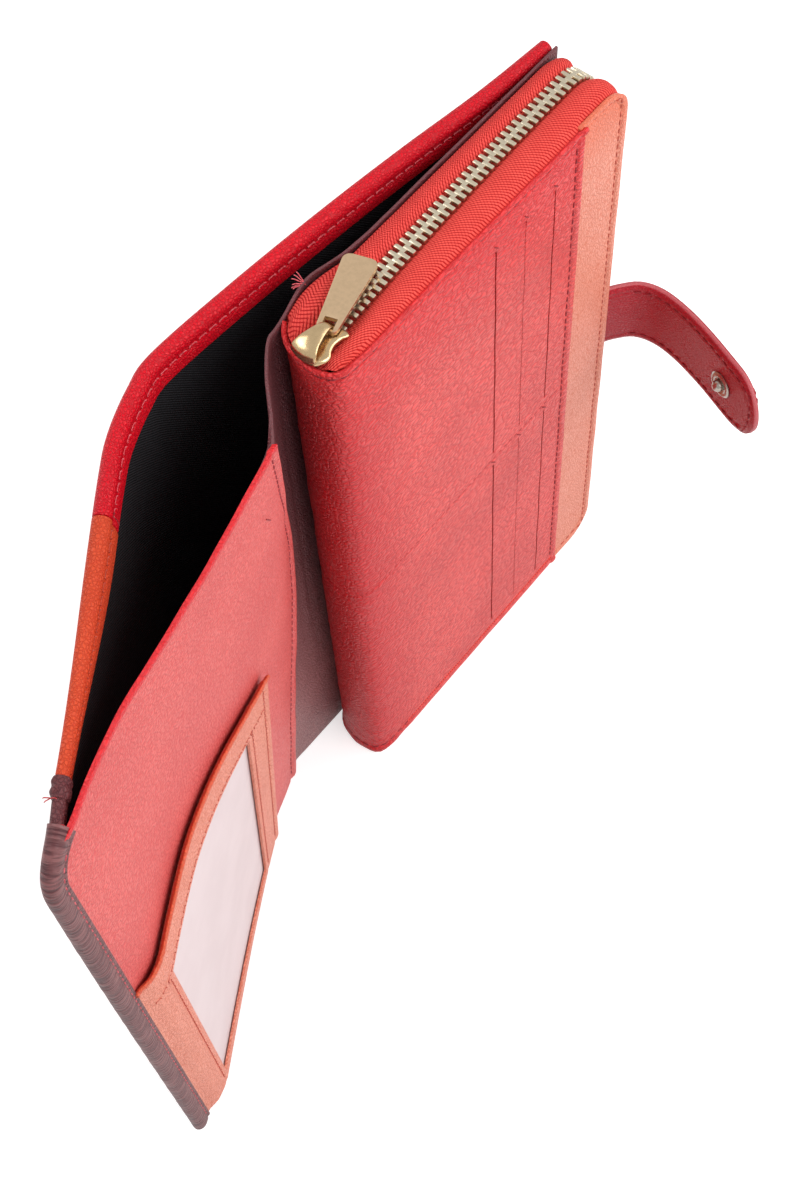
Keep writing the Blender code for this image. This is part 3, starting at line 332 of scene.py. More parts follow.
# %% The two skin surfaces between those lines
RED_JOINT = 0.0726
EDGE_PINCH = 0.0026
HEAD_PINCH = 0.0009
PINCH_REACH = 0.0130
PANEL_EDGE_SHARES = (
    (0.0, 0.983), (0.30, 1.010), (0.51, 1.056), (0.66, 1.069), (0.79, 1.020), (0.90, 0.965), (1.0, 0.928),
)
PANEL_EDGE = smooth([(a * HEIGHT, b * COVER_REACH) for a, b in PANEL_EDGE_SHARES])


def smoothstep(x):
    x = np.clip(x, 0.0, 1.0)
    return x * x * (3 - 2 * x)


def follow(line, x):
    """The second column of a drawn line, at these places of its first."""
    return np.interp(x, line[:, 0], line[:, 1])


def raised(plan, z):
    """Plan points, raised to these heights."""
    return np.concatenate([plan, np.asarray(z)[..., None]], axis=-1)


def panel_edge(z):
    """Where the pocket panel's stitched edge lies at this height, back from the free edge."""
    return follow(PANEL_EDGE, z)


def ruled(foot, head, low, high, z, inset):
    """Points of the ruled skin, low and high along its two lines from the free edge."""
    a, b = foot.from_end(low, inset), head.from_end(high, inset)
    return raised(a + (b - a) * (np.asarray(z) / HEIGHT)[..., None], z)


def outer_skin(distance, z, inset=0.0):
    """The cover's outer face, with distances from the free edge along its head."""
    marks = (0.0, RED_JOINT, OUTER_HEAD.total - BACK_LENGTH, OUTER_HEAD.total)
    places = (0.0, RED_JOINT, OUTER_FOOT.total - BACK_LENGTH, OUTER_FOOT.total)
    low = np.interp(distance, marks, places)
    distance, z, inset = np.broadcast_arrays(distance, z, inset)
    inset = inset + HEAD_PINCH * (z / HEIGHT) ** 4 * (1 - smoothstep((distance - 0.006) / 0.012))
    return ruled(OUTER_FOOT, OUTER_HEAD, low, distance, z, inset)


def inner_skin(distance, z, inset=0.0):
    """The base of the liner and the pocket panel; a negative inset is outward."""
    distance, z, inset = np.broadcast_arrays(distance, z, inset)
    inset = inset - EDGE_PINCH * (1 - smoothstep((distance + 0.001) / PINCH_REACH))
    edge = panel_edge(z)
    share = np.clip((distance - edge) / (INNER_HEAD.total - BACK_LENGTH - edge), 0.0, None)
    spare = INNER_FOOT.total - INNER_HEAD.total
    low = np.where(distance > edge, distance + spare * np.minimum(share, 1.0), distance)
    return ruled(INNER_FOOT, INNER_HEAD, low, distance, z, inset)


# %% [markdown]
# A sheet starts as Blender's grid. Its columns and rows are then laid on a surface, closer together where an
# edge is turned over or a seam pulls the leather down. Solidify gives it its wall and Bevel rounds the cut
# rim. The grid's own UV map is set to real metres on the flat sheet, so a weave keeps its size.

# %% Helpers that lay, thicken and finish a sheet


def bump(x, middle, reach):
    """1 at the middle, falling smoothly to 0 at this reach from it."""
    return np.clip(1 - ((np.asarray(x) - middle) / reach) ** 2, 0.0, 1.0) ** 2


def stations(start, end, step, near=(), reach=0.0035, fine=0.0004):
    """Places from start to end, a step apart, and finer within reach of the places named in near."""
    low, high = min(start, end), max(start, end)
    places = [low]
    while places[-1] < high:
        here = places[-1]
        away = min((abs(here - n) for n in near), default=math.inf)
        places.append(here + (fine if away < reach else min(step, (away - reach) * 0.5 + fine)))
    if high - places[-2] < fine / 2:
        places.pop()
    places[-1] = high
    return np.array(places if start <= end else places[::-1])


def only(thing):
    """Selects one object and makes it active."""
    bpy.ops.object.select_all(action="DESELECT")
    thing.select_set(True)
    bpy.context.view_layer.objects.active = thing


def edit(thing, *steps):
    """Runs mesh operators on all of a piece, in edit mode."""
    only(thing)
    bpy.ops.object.mode_set(mode="EDIT")
    for operator, values in steps:
        bpy.ops.mesh.select_all(action="SELECT")
        operator(**values)
    bpy.ops.object.mode_set(mode="OBJECT")
    return thing


def apply_modifier(thing, kind, **values):
    only(thing)
    change = thing.modifiers.new(kind.lower(), kind)
    for name, value in values.items():
        setattr(change, name, value)
    bpy.ops.object.modifier_apply(modifier=change.name)
    return thing


def lay_grid(name, across, up, surface):
    """A grid with these columns and rows, laid on a surface given as a function of both."""
    bpy.ops.object.select_all(action="DESELECT")
    bpy.ops.mesh.primitive_grid_add(x_subdivisions=len(across) - 1, y_subdivisions=len(up) - 1, size=1.0)
    thing = bpy.context.object
    thing.name = thing.data.name = name
    columns, rows = np.meshgrid(across, up)
    points = surface(columns, rows) + np.array(ORIGIN)
    thing.data.vertices.foreach_set("co", points.reshape(-1).astype(np.float32))
    flat = np.stack([columns, rows], axis=-1).reshape(-1, 2)
    corners = np.zeros(len(thing.data.loops), int)
    thing.data.loops.foreach_get("vertex_index", corners)
    layer = thing.data.uv_layers.active or thing.data.uv_layers.new(name="UVMap")
    layer.data.foreach_set("uv", flat[corners].reshape(-1).astype(np.float32))
    thing.data.update()
    return thing


def wall(thing, thickness, offset=-1.0, rim=0.00035):
    """Gives a laid sheet its thickness, and a round rim."""
    apply_modifier(thing, "SOLIDIFY", thickness=thickness, offset=offset, use_even_offset=True)
    if rim:
        apply_modifier(
            thing, "BEVEL", width=min(rim, thickness * 0.45), segments=2, limit_method="ANGLE",
            angle_limit=math.radians(50), harden_normals=False,
        )
    return thing


def shade(thing, angle=60):
    only(thing)
    bpy.ops.object.shade_smooth_by_angle(angle=math.radians(angle))
    return thing


def dress(thing, material, body, *nodes, slot=None, angle=60):
    """The last step for a piece: its finish, the body it rides on when one is named, and the solids it stands
    for. A piece given two bodies only has its place baked in.
    """
    thing.data.materials.clear()
    thing.data.materials.append(material)
    shade(thing, angle)
    if isinstance(body, str):
        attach(thing, body)
    else:
        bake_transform(thing)
    if nodes:
        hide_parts(*nodes)
    print(thing.name, len(thing.data.polygons), "faces")
    return thing


# %% [markdown]
# ## Finishes
# Leather is a dyed skin with a pebble grain: small rounded cells parted by fine creases, drawn out where the
# skin is stretched. A group makes the grain once, from warped Voronoi cells, and each leather places it with
# its own size. The dye is a little uneven. The colour is also lighter on the pebbles and deeper in the
# creases: painted light and shade of the grain.

# %% Shader groups for grain and for uneven dye


class Group(Nodes):
    """A shader node group under construction."""

    def __init__(self, name, values, results):
        super().__init__(bpy.data.node_groups.new(name, "ShaderNodeTree"))
        for label, kind, value in values:
            socket = self.tree.interface.new_socket(label, in_out="INPUT", socket_type=f"NodeSocket{kind}")
            if value is not None:
                socket.default_value = value
        for label in results:
            self.tree.interface.new_socket(label, in_out="OUTPUT", socket_type="NodeSocketFloat")
        self.given = self.tree.nodes.new("NodeGroupInput").outputs
        self.result = self.tree.nodes.new("NodeGroupOutput")

    def vector(self, operation, first, second):
        return self.node("VectorMath", {0: first, 1: second}, operation=operation).outputs[0]

    def give(self, **results):
        self.fill(self.result, results)
        return self.tree


def pebble_group():
    values = [("Place", "Vector", None), ("Stretch", "Vector", (1, 1, 1))]
    g = Group("pebble_grain", values, ("Height", "Crease"))
    place = g.vector("MULTIPLY", g.given["Place"], g.given["Stretch"])
    warp = g.vector("SUBTRACT", g.noise(place, 0.9).outputs["Color"], (0.5, 0.5, 0.5))
    warped = g.vector("ADD", place, g.vector("MULTIPLY", warp, (0.9, 0.9, 0.9)))
    cells = g.node("TexVoronoi", {"Vector": warped, "Scale": 1.0}, feature="DISTANCE_TO_EDGE")
    pebble = g.range(cells.outputs["Distance"], 0.0, 0.28)
    swell = g.noise(place, 0.28, 3.0).outputs["Fac"]
    height = g.math("ADD", g.math("MULTIPLY", pebble, 0.62), g.math("MULTIPLY", swell, 0.55))
    return g.give(Height=height, Crease=g.range(cells.outputs["Distance"], 0.0, 0.10, 1.0, 0.0))


def dye_group():
    """Broad, soft unevenness of a dyed surface, from 0 to 1."""
    g = Group("uneven_dye", [("Place", "Vector", None), ("Scale", "Float", 30.0)], ("Drift",))
    place = g.node("VectorMath", {0: g.given["Place"], "Scale": g.given["Scale"]}, operation="SCALE")
    drift = g.noise(place.outputs[0], 1.0, 4.0, 0.55)
    return g.give(Drift=g.range(drift.outputs["Fac"], 0.3, 0.7))


def weave_group():
    """Slanting threads on a flat place in metres. The slant turns back at each fold's width across."""
    values = [("Place", "Vector", None), ("Pitch", "Float", 0.0006), ("Fold", "Float", 1.0)]
    g = Group("thread_weave", values, ("Height", "Thread"))
    flat = g.node("SeparateXYZ", {0: g.given["Place"]}).outputs
    back = g.math("PINGPONG", flat["Y"], g.given["Fold"])
    rising = g.math("ADD", flat["X"], back)
    falling = g.math("SUBTRACT", flat["X"], g.math("MULTIPLY", back, 0.7))
    counts = [g.math("DIVIDE", way, g.given["Pitch"]) for way in (rising, falling)]
    ribs, picks = (g.math("ABSOLUTE", g.math("SINE", g.math("MULTIPLY", n, math.pi))) for n in counts)
    height = g.math("MULTIPLY", ribs, g.math("ADD", g.math("MULTIPLY", picks, 0.6), 0.4))
    # Thread is high on the threads' crowns and low between them; the cloths use it to paint shade between the
    # threads.
    return g.give(Height=height, Thread=g.range(height, 0.1, 0.75))


PEBBLE, DYE, WEAVE = pebble_group(), dye_group(), weave_group()
print("shader groups", [tree.name for tree in bpy.data.node_groups])

# %% Leather, cloth and plain finishes


class Finish(Nodes):
    """A material under construction, with its shader and the surface's places, solid and flat."""

    def __init__(self, name):
        self.material = new_material(name)
        super().__init__(self.material.node_tree)
        self.shader = self.tree.nodes["Principled BSDF"]
        coordinate = self.node("TexCoord").outputs
        self.place, self.flat = coordinate["Object"], coordinate["UV"]

    def group(self, tree, **inputs):
        return self.node("Group", inputs, node_tree=tree).outputs

    def drift(self, scale):
        return self.group(DYE, Scale=scale, Place=self.place)["Drift"]

    def scaled(self, source, *scale):
        return self.node("Mapping", {"Vector": source, "Scale": scale}).outputs[0]

    def mix(self, share, first, second):
        return self.node("Mix", {0: share, 6: first, 7: second}, data_type="RGBA").outputs[2]

    def finish(self, colour, height, depth, roughness, shine=None):
        """Sets the shader, and raises the surface by a height field of this depth."""
        normal = self.node("Bump", {"Height": height, "Distance": depth, "Strength": 1.0}).outputs["Normal"]
        self.fill(self.shader, {
            "Base Color": colour, "Normal": normal, "Roughness": roughness, "Specular IOR Level": shine,
        })
        return self.material


def between(first, second, share):
    return tuple((1 - share) * a + share * b for a, b in zip(first, second))


def leather(
    name, light, deep, grain=0.0008, depth=0.00022, stretch=(1, 1, 1), gloss=0.42, crease=0.85, shine=0.3,
    valley_shade=0.3, turned=(),
):
    """A dyed leather: its light and deep tones, the size of a pebble and how high it stands. Each row of
    turned names a flat axis, the places between which the painted sheen and light of the light tone fade, and
    the deeper tone left there."""
    f = Finish(name)
    pebbles = f.group(PEBBLE, Stretch=stretch, Place=f.scaled(f.place, 1 / grain, 1 / grain, 1 / grain))
    colour = f.mix(f.drift(34.0), light, between(light, deep, 0.20))
    flat = f.node("SeparateXYZ", {0: f.flat}).outputs
    # Painted light: each ramp takes the colour from the light tone, which holds painted sheen and light, to a
    # deeper tone where that painted light fades.
    for axis, low, high, less_lit_tone in turned:
        colour = f.mix(f.range(flat[axis], low, high), colour, less_lit_tone)
    # Painted shade: the colour darkens towards the deep tone in the grain's creases and valleys, and stays
    # light on the pebbles' tops.
    valley_shade_share = f.math("MULTIPLY", f.math("SUBTRACT", 1.0, pebbles["Height"]), valley_shade)
    shade_of = f.math("MAXIMUM", f.math("MULTIPLY", pebbles["Crease"], crease), valley_shade_share)
    roughness = f.math("ADD", f.math("MULTIPLY", pebbles["Crease"], 0.15), gloss)
    return f.finish(f.mix(shade_of, colour, deep), pebbles["Height"], depth, roughness, shine)


def cloth(name, light, deep, pitch, fold, across):
    """A woven finish on a sheet's flat places; across is how many metres one unit of its height spans."""
    f = Finish(name)
    threads = f.group(WEAVE, Pitch=pitch, Fold=fold, Place=f.scaled(f.flat, 1.0, across, 1.0))
    worn = f.mix(f.drift(300.0), light, between(light, deep, 0.15))
    # Painted shade: the colour is deeper between the threads and lighter on their crowns.
    return f.finish(f.mix(threads["Thread"], deep, worn), threads["Height"], 0.0002, 0.8, 0.15)


def plain(name, light, deep, scale, depth, roughness, spread=0.0, shine=None, metallic=0.0):
    """A finish without a grain: its tone, its height and its roughness drift a little over the surface."""
    f = Finish(name)
    drift = f.drift(scale)
    if spread:
        roughness = f.math("ADD", f.math("MULTIPLY", drift, spread), roughness)
    f.fill(f.shader, {"Metallic": metallic})
    return f.finish(f.mix(drift, light, deep), drift, depth, roughness, shine)


COVER_RED = leather("cover_red_leather", tone(220, 14, 34), tone(156, 4, 20), shine=0.22, gloss=0.36)
# The front's light tone is paler than its red leather: painted sheen of the white floor and lamps. It deepens
# towards the spine, where the leather turns from the light (painted shade), and towards the top, where the
# painted sheen fades.
FRONT_RED = leather(
    "front_red_leather", tone(238, 88, 84), tone(150, 14, 28), grain=0.00115, depth=0.00045,
    stretch=(0.5, 1, 1), shine=0.35, crease=0.55, valley_shade=0.24,
    turned=((0, 0.046, 0.014, tone(206, 26, 34)), (1, 0.150, 0.1885, tone(226, 48, 50))),
)
# The panel's pale coral light tone holds painted sheen of the white floor; at its top lip the colour deepens
# to the leather's red, where the painted sheen stops.
PANEL_RED = leather(
    "panel_red_leather", tone(234, 106, 101), tone(184, 44, 54), grain=0.00090, depth=0.00035,
    stretch=(0.7, 0.7, 1), crease=0.55, valley_shade=0.22, turned=((1, 0.1872, 0.1885, tone(226, 40, 46)),),
)
ORANGE = leather("orange_leather", tone(216, 82, 50), tone(176, 48, 26), shine=0.15)
# The frame's pale light tone holds painted sheen; at the mouth's roll the colour deepens to a fuller orange,
# where the painted sheen stops.
FRAME_ORANGE = leather(
    "frame_orange_leather", tone(244, 156, 132), tone(196, 90, 64), grain=0.0009, depth=0.0003,
    turned=((1, 2.86, 2.89, tone(226, 92, 58)),),
)
# The strip's pale light tone holds painted sheen of the white floor; towards its top the colour deepens to a
# fuller orange, where the painted sheen fades.
STRIP_ORANGE = leather(
    "strip_orange_leather", tone(238, 156, 134), tone(206, 104, 78), stretch=(1, 1, 0.6), valley_shade=0.35,
    turned=((1, 0.168, 0.188, tone(232, 122, 92)),),
)
AUBERGINE = leather("aubergine_leather", tone(112, 60, 62), tone(62, 26, 32), grain=0.0009, shine=0.2)
# The liner is painted lighter near its foot, where light from the floor reaches it, and darker higher up:
# painted light and painted shade on aubergine leather.
LINER_SKIN = leather(
    "liner_leather", tone(166, 112, 112), tone(92, 52, 56), grain=0.0009,
    turned=((1, 0.02, 0.15, tone(112, 62, 66)),),
)
STRAP_RED = leather("strap_leather", tone(192, 26, 44), tone(128, 6, 22), shine=0.35, gloss=0.34, crease=0.5)
print("leathers", 9)

# %% [markdown]
# ## The cover's outer skin
# The outer leather is cut in three colours and joined: red behind the compartment and round the spine,
# orange and then aubergine towards the free edge. Its top edge is turned over the skins inside it, round a
# soft core, and comes down 7.5 mm inside. Towards the free edge the turn is slimmer and shorter. A turned
# edge has a round section, so the grid's rows go up the outer face, round a half circle and down inside.

# %% Rows of a turned edge
TURN_RADIUS = TURN_INSET / 2
TURN_LENGTH = 0.0075
THIN_RADIUS = 0.00135
THIN_LENGTH = 0.0030
TURN_STEPS = 12
TURN_SEAM = 2.30
TURN_PULL = 0.00035
AUBERGINE_BAND = 0.0170
CORNER = 0.0110


def corner_drop(distance):
    """How much lower the cover's top is near the free edge, where its corner is round."""
    near = np.clip(CORNER - np.asarray(distance, float), 0.0, CORNER)
    return CORNER - np.sqrt(CORNER**2 - near**2)


def turn_radius(distance, swell=0.0):
    """The turned edge is slimmer near the free edge, where less lies between its skins."""
    return THIN_RADIUS + (TURN_RADIUS - THIN_RADIUS) * smoothstep((distance - 0.018) / 0.050) + swell


def turned_edge(distance, row, swell=0.0):
    """A place on the turned edge. Row: below 1 up the outer face, to 2 round the turn, to 3 down inside."""
    radius = turn_radius(distance, swell)
    length = THIN_LENGTH + (TURN_LENGTH - THIN_LENGTH) * smoothstep((distance - 0.016) / 0.050)
    face = np.clip(row, 0, 1)
    angle = math.pi * np.clip(row - 1, 0, 1)
    down = np.clip(row - 2, 0, 1)
    top = HEIGHT - corner_drop(distance) + swell
    z = face * (top - radius) + radius * np.sin(angle) - down * (length - radius)
    inset = radius * (1 - np.cos(angle)) - TURN_PULL * bump(row, TURN_SEAM, 0.25) - swell
    return outer_skin(distance, z, inset)


def turned_rows(face_steps):
    face = np.linspace(0, 1, face_steps + 1)
    turn = 1 + np.arange(1, TURN_STEPS + 1) / TURN_STEPS
    inside = 2 + stations(0, 1, 0.1)[1:]
    return np.concatenate([face, turn, inside])


def outer_cover(name, start, end, step=0.0015, rows=None, proud=0.0):
    """A length of the cover's outer leather, with its turned edge; proud lays it over another length."""

    def surface(distance, row):
        knot = 0.75 + 0.25 * np.sin(distance * 2600 + np.sin(row * 7))
        swell = proud * knot * bump(distance, (start + end) / 2, start - end)
        return turned_edge(distance, row, swell=swell)

    rows = turned_rows(60) if rows is None else rows
    return wall(lay_grid(name, stations(start, end, step), rows, surface), LEATHER * (0.5 if proud else 1.0))


HEAD_START = OUTER_HEAD.total
SPINE_START = ORIGIN + Vector((SPINE_LIP, CASE_DEPTH, HEIGHT / 2))
SPINE_END = ORIGIN + Vector((*OUTER_HEAD.from_end(RED_JOINT + 0.012), HEIGHT / 2))
ROUND_SPINE = ("case_and_back", "front_cover", SPINE_START, SPINE_END)
red = outer_cover("outer_leather_red", HEAD_START, RED_JOINT)
dress(red, COVER_RED, ROUND_SPINE, "back_outer_leather", "spine_outer_leather")
orange = outer_cover("outer_leather_orange", RED_JOINT - GAP, AUBERGINE_BAND)
dress(orange, ORANGE, "front_cover", "cover_orange_leather")
aubergine = outer_cover("outer_leather_aubergine", AUBERGINE_BAND - GAP, 0.0020, 0.0008)
dress(aubergine, AUBERGINE, "front_cover", "cover_aubergine_leather")
KNOT = (AUBERGINE_BAND + 0.0008, AUBERGINE_BAND - 0.0034)
fold = outer_cover("aubergine_fold", *KNOT, 0.0003, turned_rows(60)[57:], 0.0007)
dress(fold, AUBERGINE, "front_cover", slot="cover_aubergine_leather")

# %% [markdown]
# ## Lining, liner and pocket panel
# Inside the outer leather lies black twill. The other side of the notes' pocket is a thin aubergine liner
# behind the compartment and round the spine, and a coral panel on the front cover. The panel's edges are
# turned: a turned edge is a round lip about 1.5 mm wide, and the seam beside it pulls the leather down.

# %% Relief of a turned edge and of a seam
LIP = 0.0016
LIP_RISE = 0.00045
LIP_STEPS = (0.0042, 0.0003)
SEAM_DEPTH = 0.00022
SHALLOW_SEAM = 0.00014
SEAM_REACH = 0.0008


def rounded(x, middle, half):
    """A round bead in section: 1 at its middle and 0 from half its width on."""
    return np.sqrt(np.clip(1 - ((x - middle) / half) ** 2, 0.0, 1.0))


def lip(distance, seam_at=0.0029, rise=LIP_RISE):
    """How far a turned edge stands up at this distance from it, with its seam's groove."""
    d = np.maximum(distance, 0.0)
    bead, flank = rounded(d, LIP / 2, LIP * 0.62), 1 - smoothstep((d - LIP) / 0.0012)
    fold = rise * (0.55 * bead + 0.45 * flank)
    return fold - SEAM_DEPTH * bump(d, seam_at, SEAM_REACH)


def seam(distance, depth=SEAM_DEPTH, reach=SEAM_REACH):
    """The groove of a seam, at this distance from its middle."""
    return -depth * bump(distance, 0.0, reach)


def ripple(a, b, size, seed=0.0):
    """A soft irregular swell of a sheet, from sines of unlike lengths."""
    return size * (
        np.sin(a * 211 + b * 83 + seed) * np.sin(b * 157 - a * 41 + 2 * seed)
        + 0.5 * np.sin(a * 97 - b * 263 + 3 * seed) + 0.35 * np.sin(a * 433 + b * 301 + 5 * seed)
    )


# %% Twill lining
TWILL_BLACK = cloth("black_twill", tone(48, 48, 51), tone(12, 12, 14), 0.0008, 1.0, HEIGHT)


def lining_surface(distance, row):
    z = row * (HEIGHT - TURN_RADIUS)
    return outer_skin(distance, z, CLOTH_INSET + ripple(distance, z, 0.00006))


lining_columns = stations(OUTER_HEAD.total, CORNER, 0.0025)
lining = lay_grid("twill_lining", lining_columns, np.linspace(0.004, 1, 60), lining_surface)
wall(lining, CLOTH, rim=0)
dress(lining, TWILL_BLACK, ROUND_SPINE, "back_lining", "spine_lining", "cover_lining")

# %% Aubergine liner
LINER_END = 0.0915
LINER_CORNER = INNER_HEAD.total - BACK_LENGTH
WRAP_ROOM = 0.0011
LINER_DRAW_MM = (
    (-20.0, 0.0), (-15.0, 0.1), (-8.5, 0.7), (-2.5, 1.0), (1.4, 0.4), (5.4, -0.8), (10.4, -2.2),
    (13.6, -2.4), (18.5, -1.3), (22.7, -0.5), (30.0, 0.0),
)
LINER_DRAW = smooth([(a * MM, b * MM) for a, b in LINER_DRAW_MM])


def drawn_liner(distance, row):
    """The liner's head is drawn in at the spine and stands off behind the compartment's corner."""
    drawn = follow(LINER_DRAW, distance - LINER_CORNER) * (row / HEIGHT) ** 1.5
    room = bump(distance, LINER_CORNER - 0.002, 0.018) * bump(row, HEIGHT / 2, HEIGHT * 0.52)
    drawn = drawn - WRAP_ROOM * room
    z = row * (1 - 0.025 * (1 - smoothstep((distance - panel_edge(HEIGHT) - 0.0010) / 0.0030)))
    return inner_skin(distance, z, drawn - (LEATHER + GAP) + ripple(distance, z, 0.00004, 2.0))


def liner_surface(distance, row):
    """The drawn liner, with its bend eased over a few millimetres."""
    reach = 0.0030 * bump(distance, LINER_CORNER, 0.030)
    shares = ((0.10, -1.0), (0.24, -0.5), (0.32, 0.0), (0.24, 0.5), (0.10, 1.0))
    return sum(share * drawn_liner(distance + step * reach, row) for share, step in shares)


liner_rows = stations(0, HEIGHT, 0.003, (HEIGHT,))
liner = lay_grid("liner", stations(INNER_HEAD.total, LINER_END, 0.0012), liner_rows, liner_surface)
wall(liner, LINER, offset=1.0, rim=0.0003)
dress(liner, LINER_SKIN, ROUND_SPINE, "liner_back_panel", "spine_liner")

# %% Pocket panel
PANEL_FIT = 0.060
PANEL_SEAM = 0.0029
PANEL_ROUND = 0.0030


def flatten(thing):
    """The pocket is soft, but this only gives the piece a mesh of its own."""
    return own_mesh(thing)


def panel_distance(inward, z):
    """Distance from the free edge for a place this far inward from the panel's curved edge."""
    share = 1 - smoothstep((inward - 0.015) / PANEL_FIT)
    return COVER_REACH - inward + (panel_edge(z) - COVER_REACH) * share


def panel_surface(inward, row):
    distance = panel_distance(inward, row)
    round_end = PANEL_ROUND * 0.4 * np.clip(1 - inward / PANEL_ROUND, 0, 1) ** 2
    z = row - corner_drop(distance) * (row / HEIGHT) ** 4 - round_end * (row / HEIGHT) ** 12
    under_binding = smoothstep((distance - 0.0045) / 0.004)
    rise = np.maximum(lip(HEIGHT - row, 0.9) * under_binding, lip(inward)) + seam(inward - PANEL_SEAM)
    return inner_skin(distance, z, rise + ripple(inward, row, 0.00007, 1.0))


panel_columns = stations(0, COVER_REACH - 0.0004, 0.002, (0.0,), *LIP_STEPS)
panel_rows = stations(0, HEIGHT, 0.003, (HEIGHT,), *LIP_STEPS)
panel = lay_grid("pocket_panel_leather", panel_columns, panel_rows, panel_surface)
wall(panel, LEATHER, offset=1.0)
flatten(dress(panel, PANEL_RED, "front_cover", "pocket_panel"))

# %% [markdown]
# ## The free edge
# A strip of aubergine leather is folded round the free edge. Its section runs in over the outer skin, round
# the edge in a half circle and back over the pocket panel. The leather creases across where it was folded.

# %% Binding of the free edge
BINDING_REACH = 0.0050
INNER_REACH = 0.0020
BINDING_THICK = 0.0007
OUTER_LIFT = 0.0013
INNER_LIFT = 0.00075


def creased_leather(name, light, deep):
    """Leather folded round an edge: fine creases run across the fold, closely one after another."""
    f = Finish(name)
    folds = f.noise(f.scaled(f.flat, 1.1, 1 / 0.00075, 1.0), 1.0, 3.0, distortion=0.6)
    sharp = f.range(folds.outputs["Fac"], 0.36, 0.60, kind="LINEAR")
    even = f.mix(f.drift(120.0), light, between(light, deep, 0.25))
    # Painted shade: the colour falls to the deep tone in each crease.
    return f.finish(f.mix(sharp, deep, even), sharp, 0.00028, 0.45, 0.25)


BINDING_SKIN = creased_leather("creased_aubergine_leather", tone(138, 90, 90), tone(84, 44, 48))
BINDING_SINK = 0.0016
BINDING_RUN = HEIGHT - BINDING_SINK - CORNER
BINDING_END = BINDING_RUN + CORNER * 1.38


def binding_spot(path):
    """Distance and height on the wallet's outline, up the free edge and round its corner, and its turn."""
    turn = np.clip((path - BINDING_RUN) / CORNER, 0.0, math.pi / 2)
    return CORNER * (1 - np.cos(turn)), np.minimum(path, BINDING_RUN) + CORNER * np.sin(turn), turn


def binding_surface(across, path):
    """Across: 0 to 1 on the outer side, to 2 round the edge, to 3 on the inner side."""
    distance, height, turn = binding_spot(path)

    def on(skin, reach, lift):
        lift = lift * (1 - 0.7 * smoothstep((path - BINDING_END + 0.012) / 0.012))
        return skin(distance + reach * np.cos(turn), height - reach * np.sin(turn), lift)

    outer_edge, inner_edge = on(outer_skin, 0.0, -OUTER_LIFT), on(inner_skin, 0.0, INNER_LIFT)
    ahead = outer_edge - on(outer_skin, 0.001, -OUTER_LIFT)
    ahead /= np.linalg.norm(ahead, axis=-1, keepdims=True)
    middle, half = (outer_edge + inner_edge) / 2, (outer_edge - inner_edge) / 2
    radius = np.linalg.norm(half, axis=-1, keepdims=True)
    angle = math.pi * np.clip(across - 1, 0, 1)[..., None]
    crease = 1 + 0.02 * ripple(path * 3, across * 0.001, 1.0, 0.5)[..., None]
    bow = middle + np.cos(angle) * half + np.sin(angle) * radius * ahead * crease * 1.25
    outer = on(outer_skin, BINDING_REACH * (1 - np.clip(across, 0, 1)), -OUTER_LIFT)
    groove = SEAM_DEPTH * bump(INNER_REACH * (3 - across), 0.0009, 0.0005)
    inner = on(inner_skin, INNER_REACH * np.clip(across - 2, 0, 1), INNER_LIFT - groove)
    return np.where((across < 1)[..., None], outer, np.where((across > 2)[..., None], inner, bow))


across = np.concatenate([np.linspace(0, 1, 9), np.linspace(1, 2, 15)[1:], 2 + stations(0, 1, 0.08)[1:]])
binding = lay_grid("edge_binding", across, stations(0, BINDING_END, 0.0010), binding_surface)
wall(binding, BINDING_THICK, rim=0.0002)
dress(binding, BINDING_SKIN, "front_cover", "free_edge_binding")

# %% [markdown]
# ## The identity pocket
# An orange frame is sewn on the pocket panel, with a clear window behind it. Its mouth is a curved turned
# edge. A grid whose rows follow the mouth and the window's sides leaves out the faces of the window.

# %% Frame and window of the identity pocket
FRAME_REACH = 0.0822
WINDOW_NEAR = 0.0127
WINDOW_FAR = 0.0692
WINDOW_FOOT = 0.0055
FRAME_LIFT = 0.0012
FRAME_BAND = 0.0172
WINDOW_LAP = 0.0025
FRAME_THICK = 0.0008
FRAME_SINK = 0.0012
MOUTH_ROLL = 0.0010
MOUTH_SEAM, END_SEAM, FAR_SEAM, NEAR_SEAM = 0.0034, 0.0026, 0.0022, 0.0020
WINDOW_THICK = 0.0003
MOUTH_FOOT, MOUTH_RISE = 0.110, 0.011
MOUTH_SHARES = ((0.0, 0.04), (0.12, 0.0), (0.25, 0.32), (0.48, 1.0), (0.68, 1.0), (1.0, 0.0))
MOUTH_LINE = smooth([(a * FRAME_REACH, MOUTH_FOOT + b * MOUTH_RISE) for a, b in MOUTH_SHARES])
FRAME_FACE = GAP + WINDOW_THICK + GAP + FRAME_THICK

# The window is a clear film gone milky: it has no grain, only the faintest clouding.
WINDOW_MILK = plain(
    "milky_film", tone(220, 203, 204), tone(216, 199, 200), 60.0, 0.00002, 0.42, spread=0.06, shine=0.3,
)


def mouth_height(distance):
    return follow(MOUTH_LINE, distance)


def frame_height(distance, row):
    """Row 0 to 1 below the window, to 2 beside it, to 3 above it up to the mouth."""
    below = FRAME_LIFT + (WINDOW_FOOT - FRAME_LIFT) * np.clip(row, 0, 1)
    beside = (mouth_height(distance) - FRAME_BAND - WINDOW_FOOT) * np.clip(row - 1, 0, 1)
    return below + beside + FRAME_BAND * np.clip(row - 2, 0, 1)


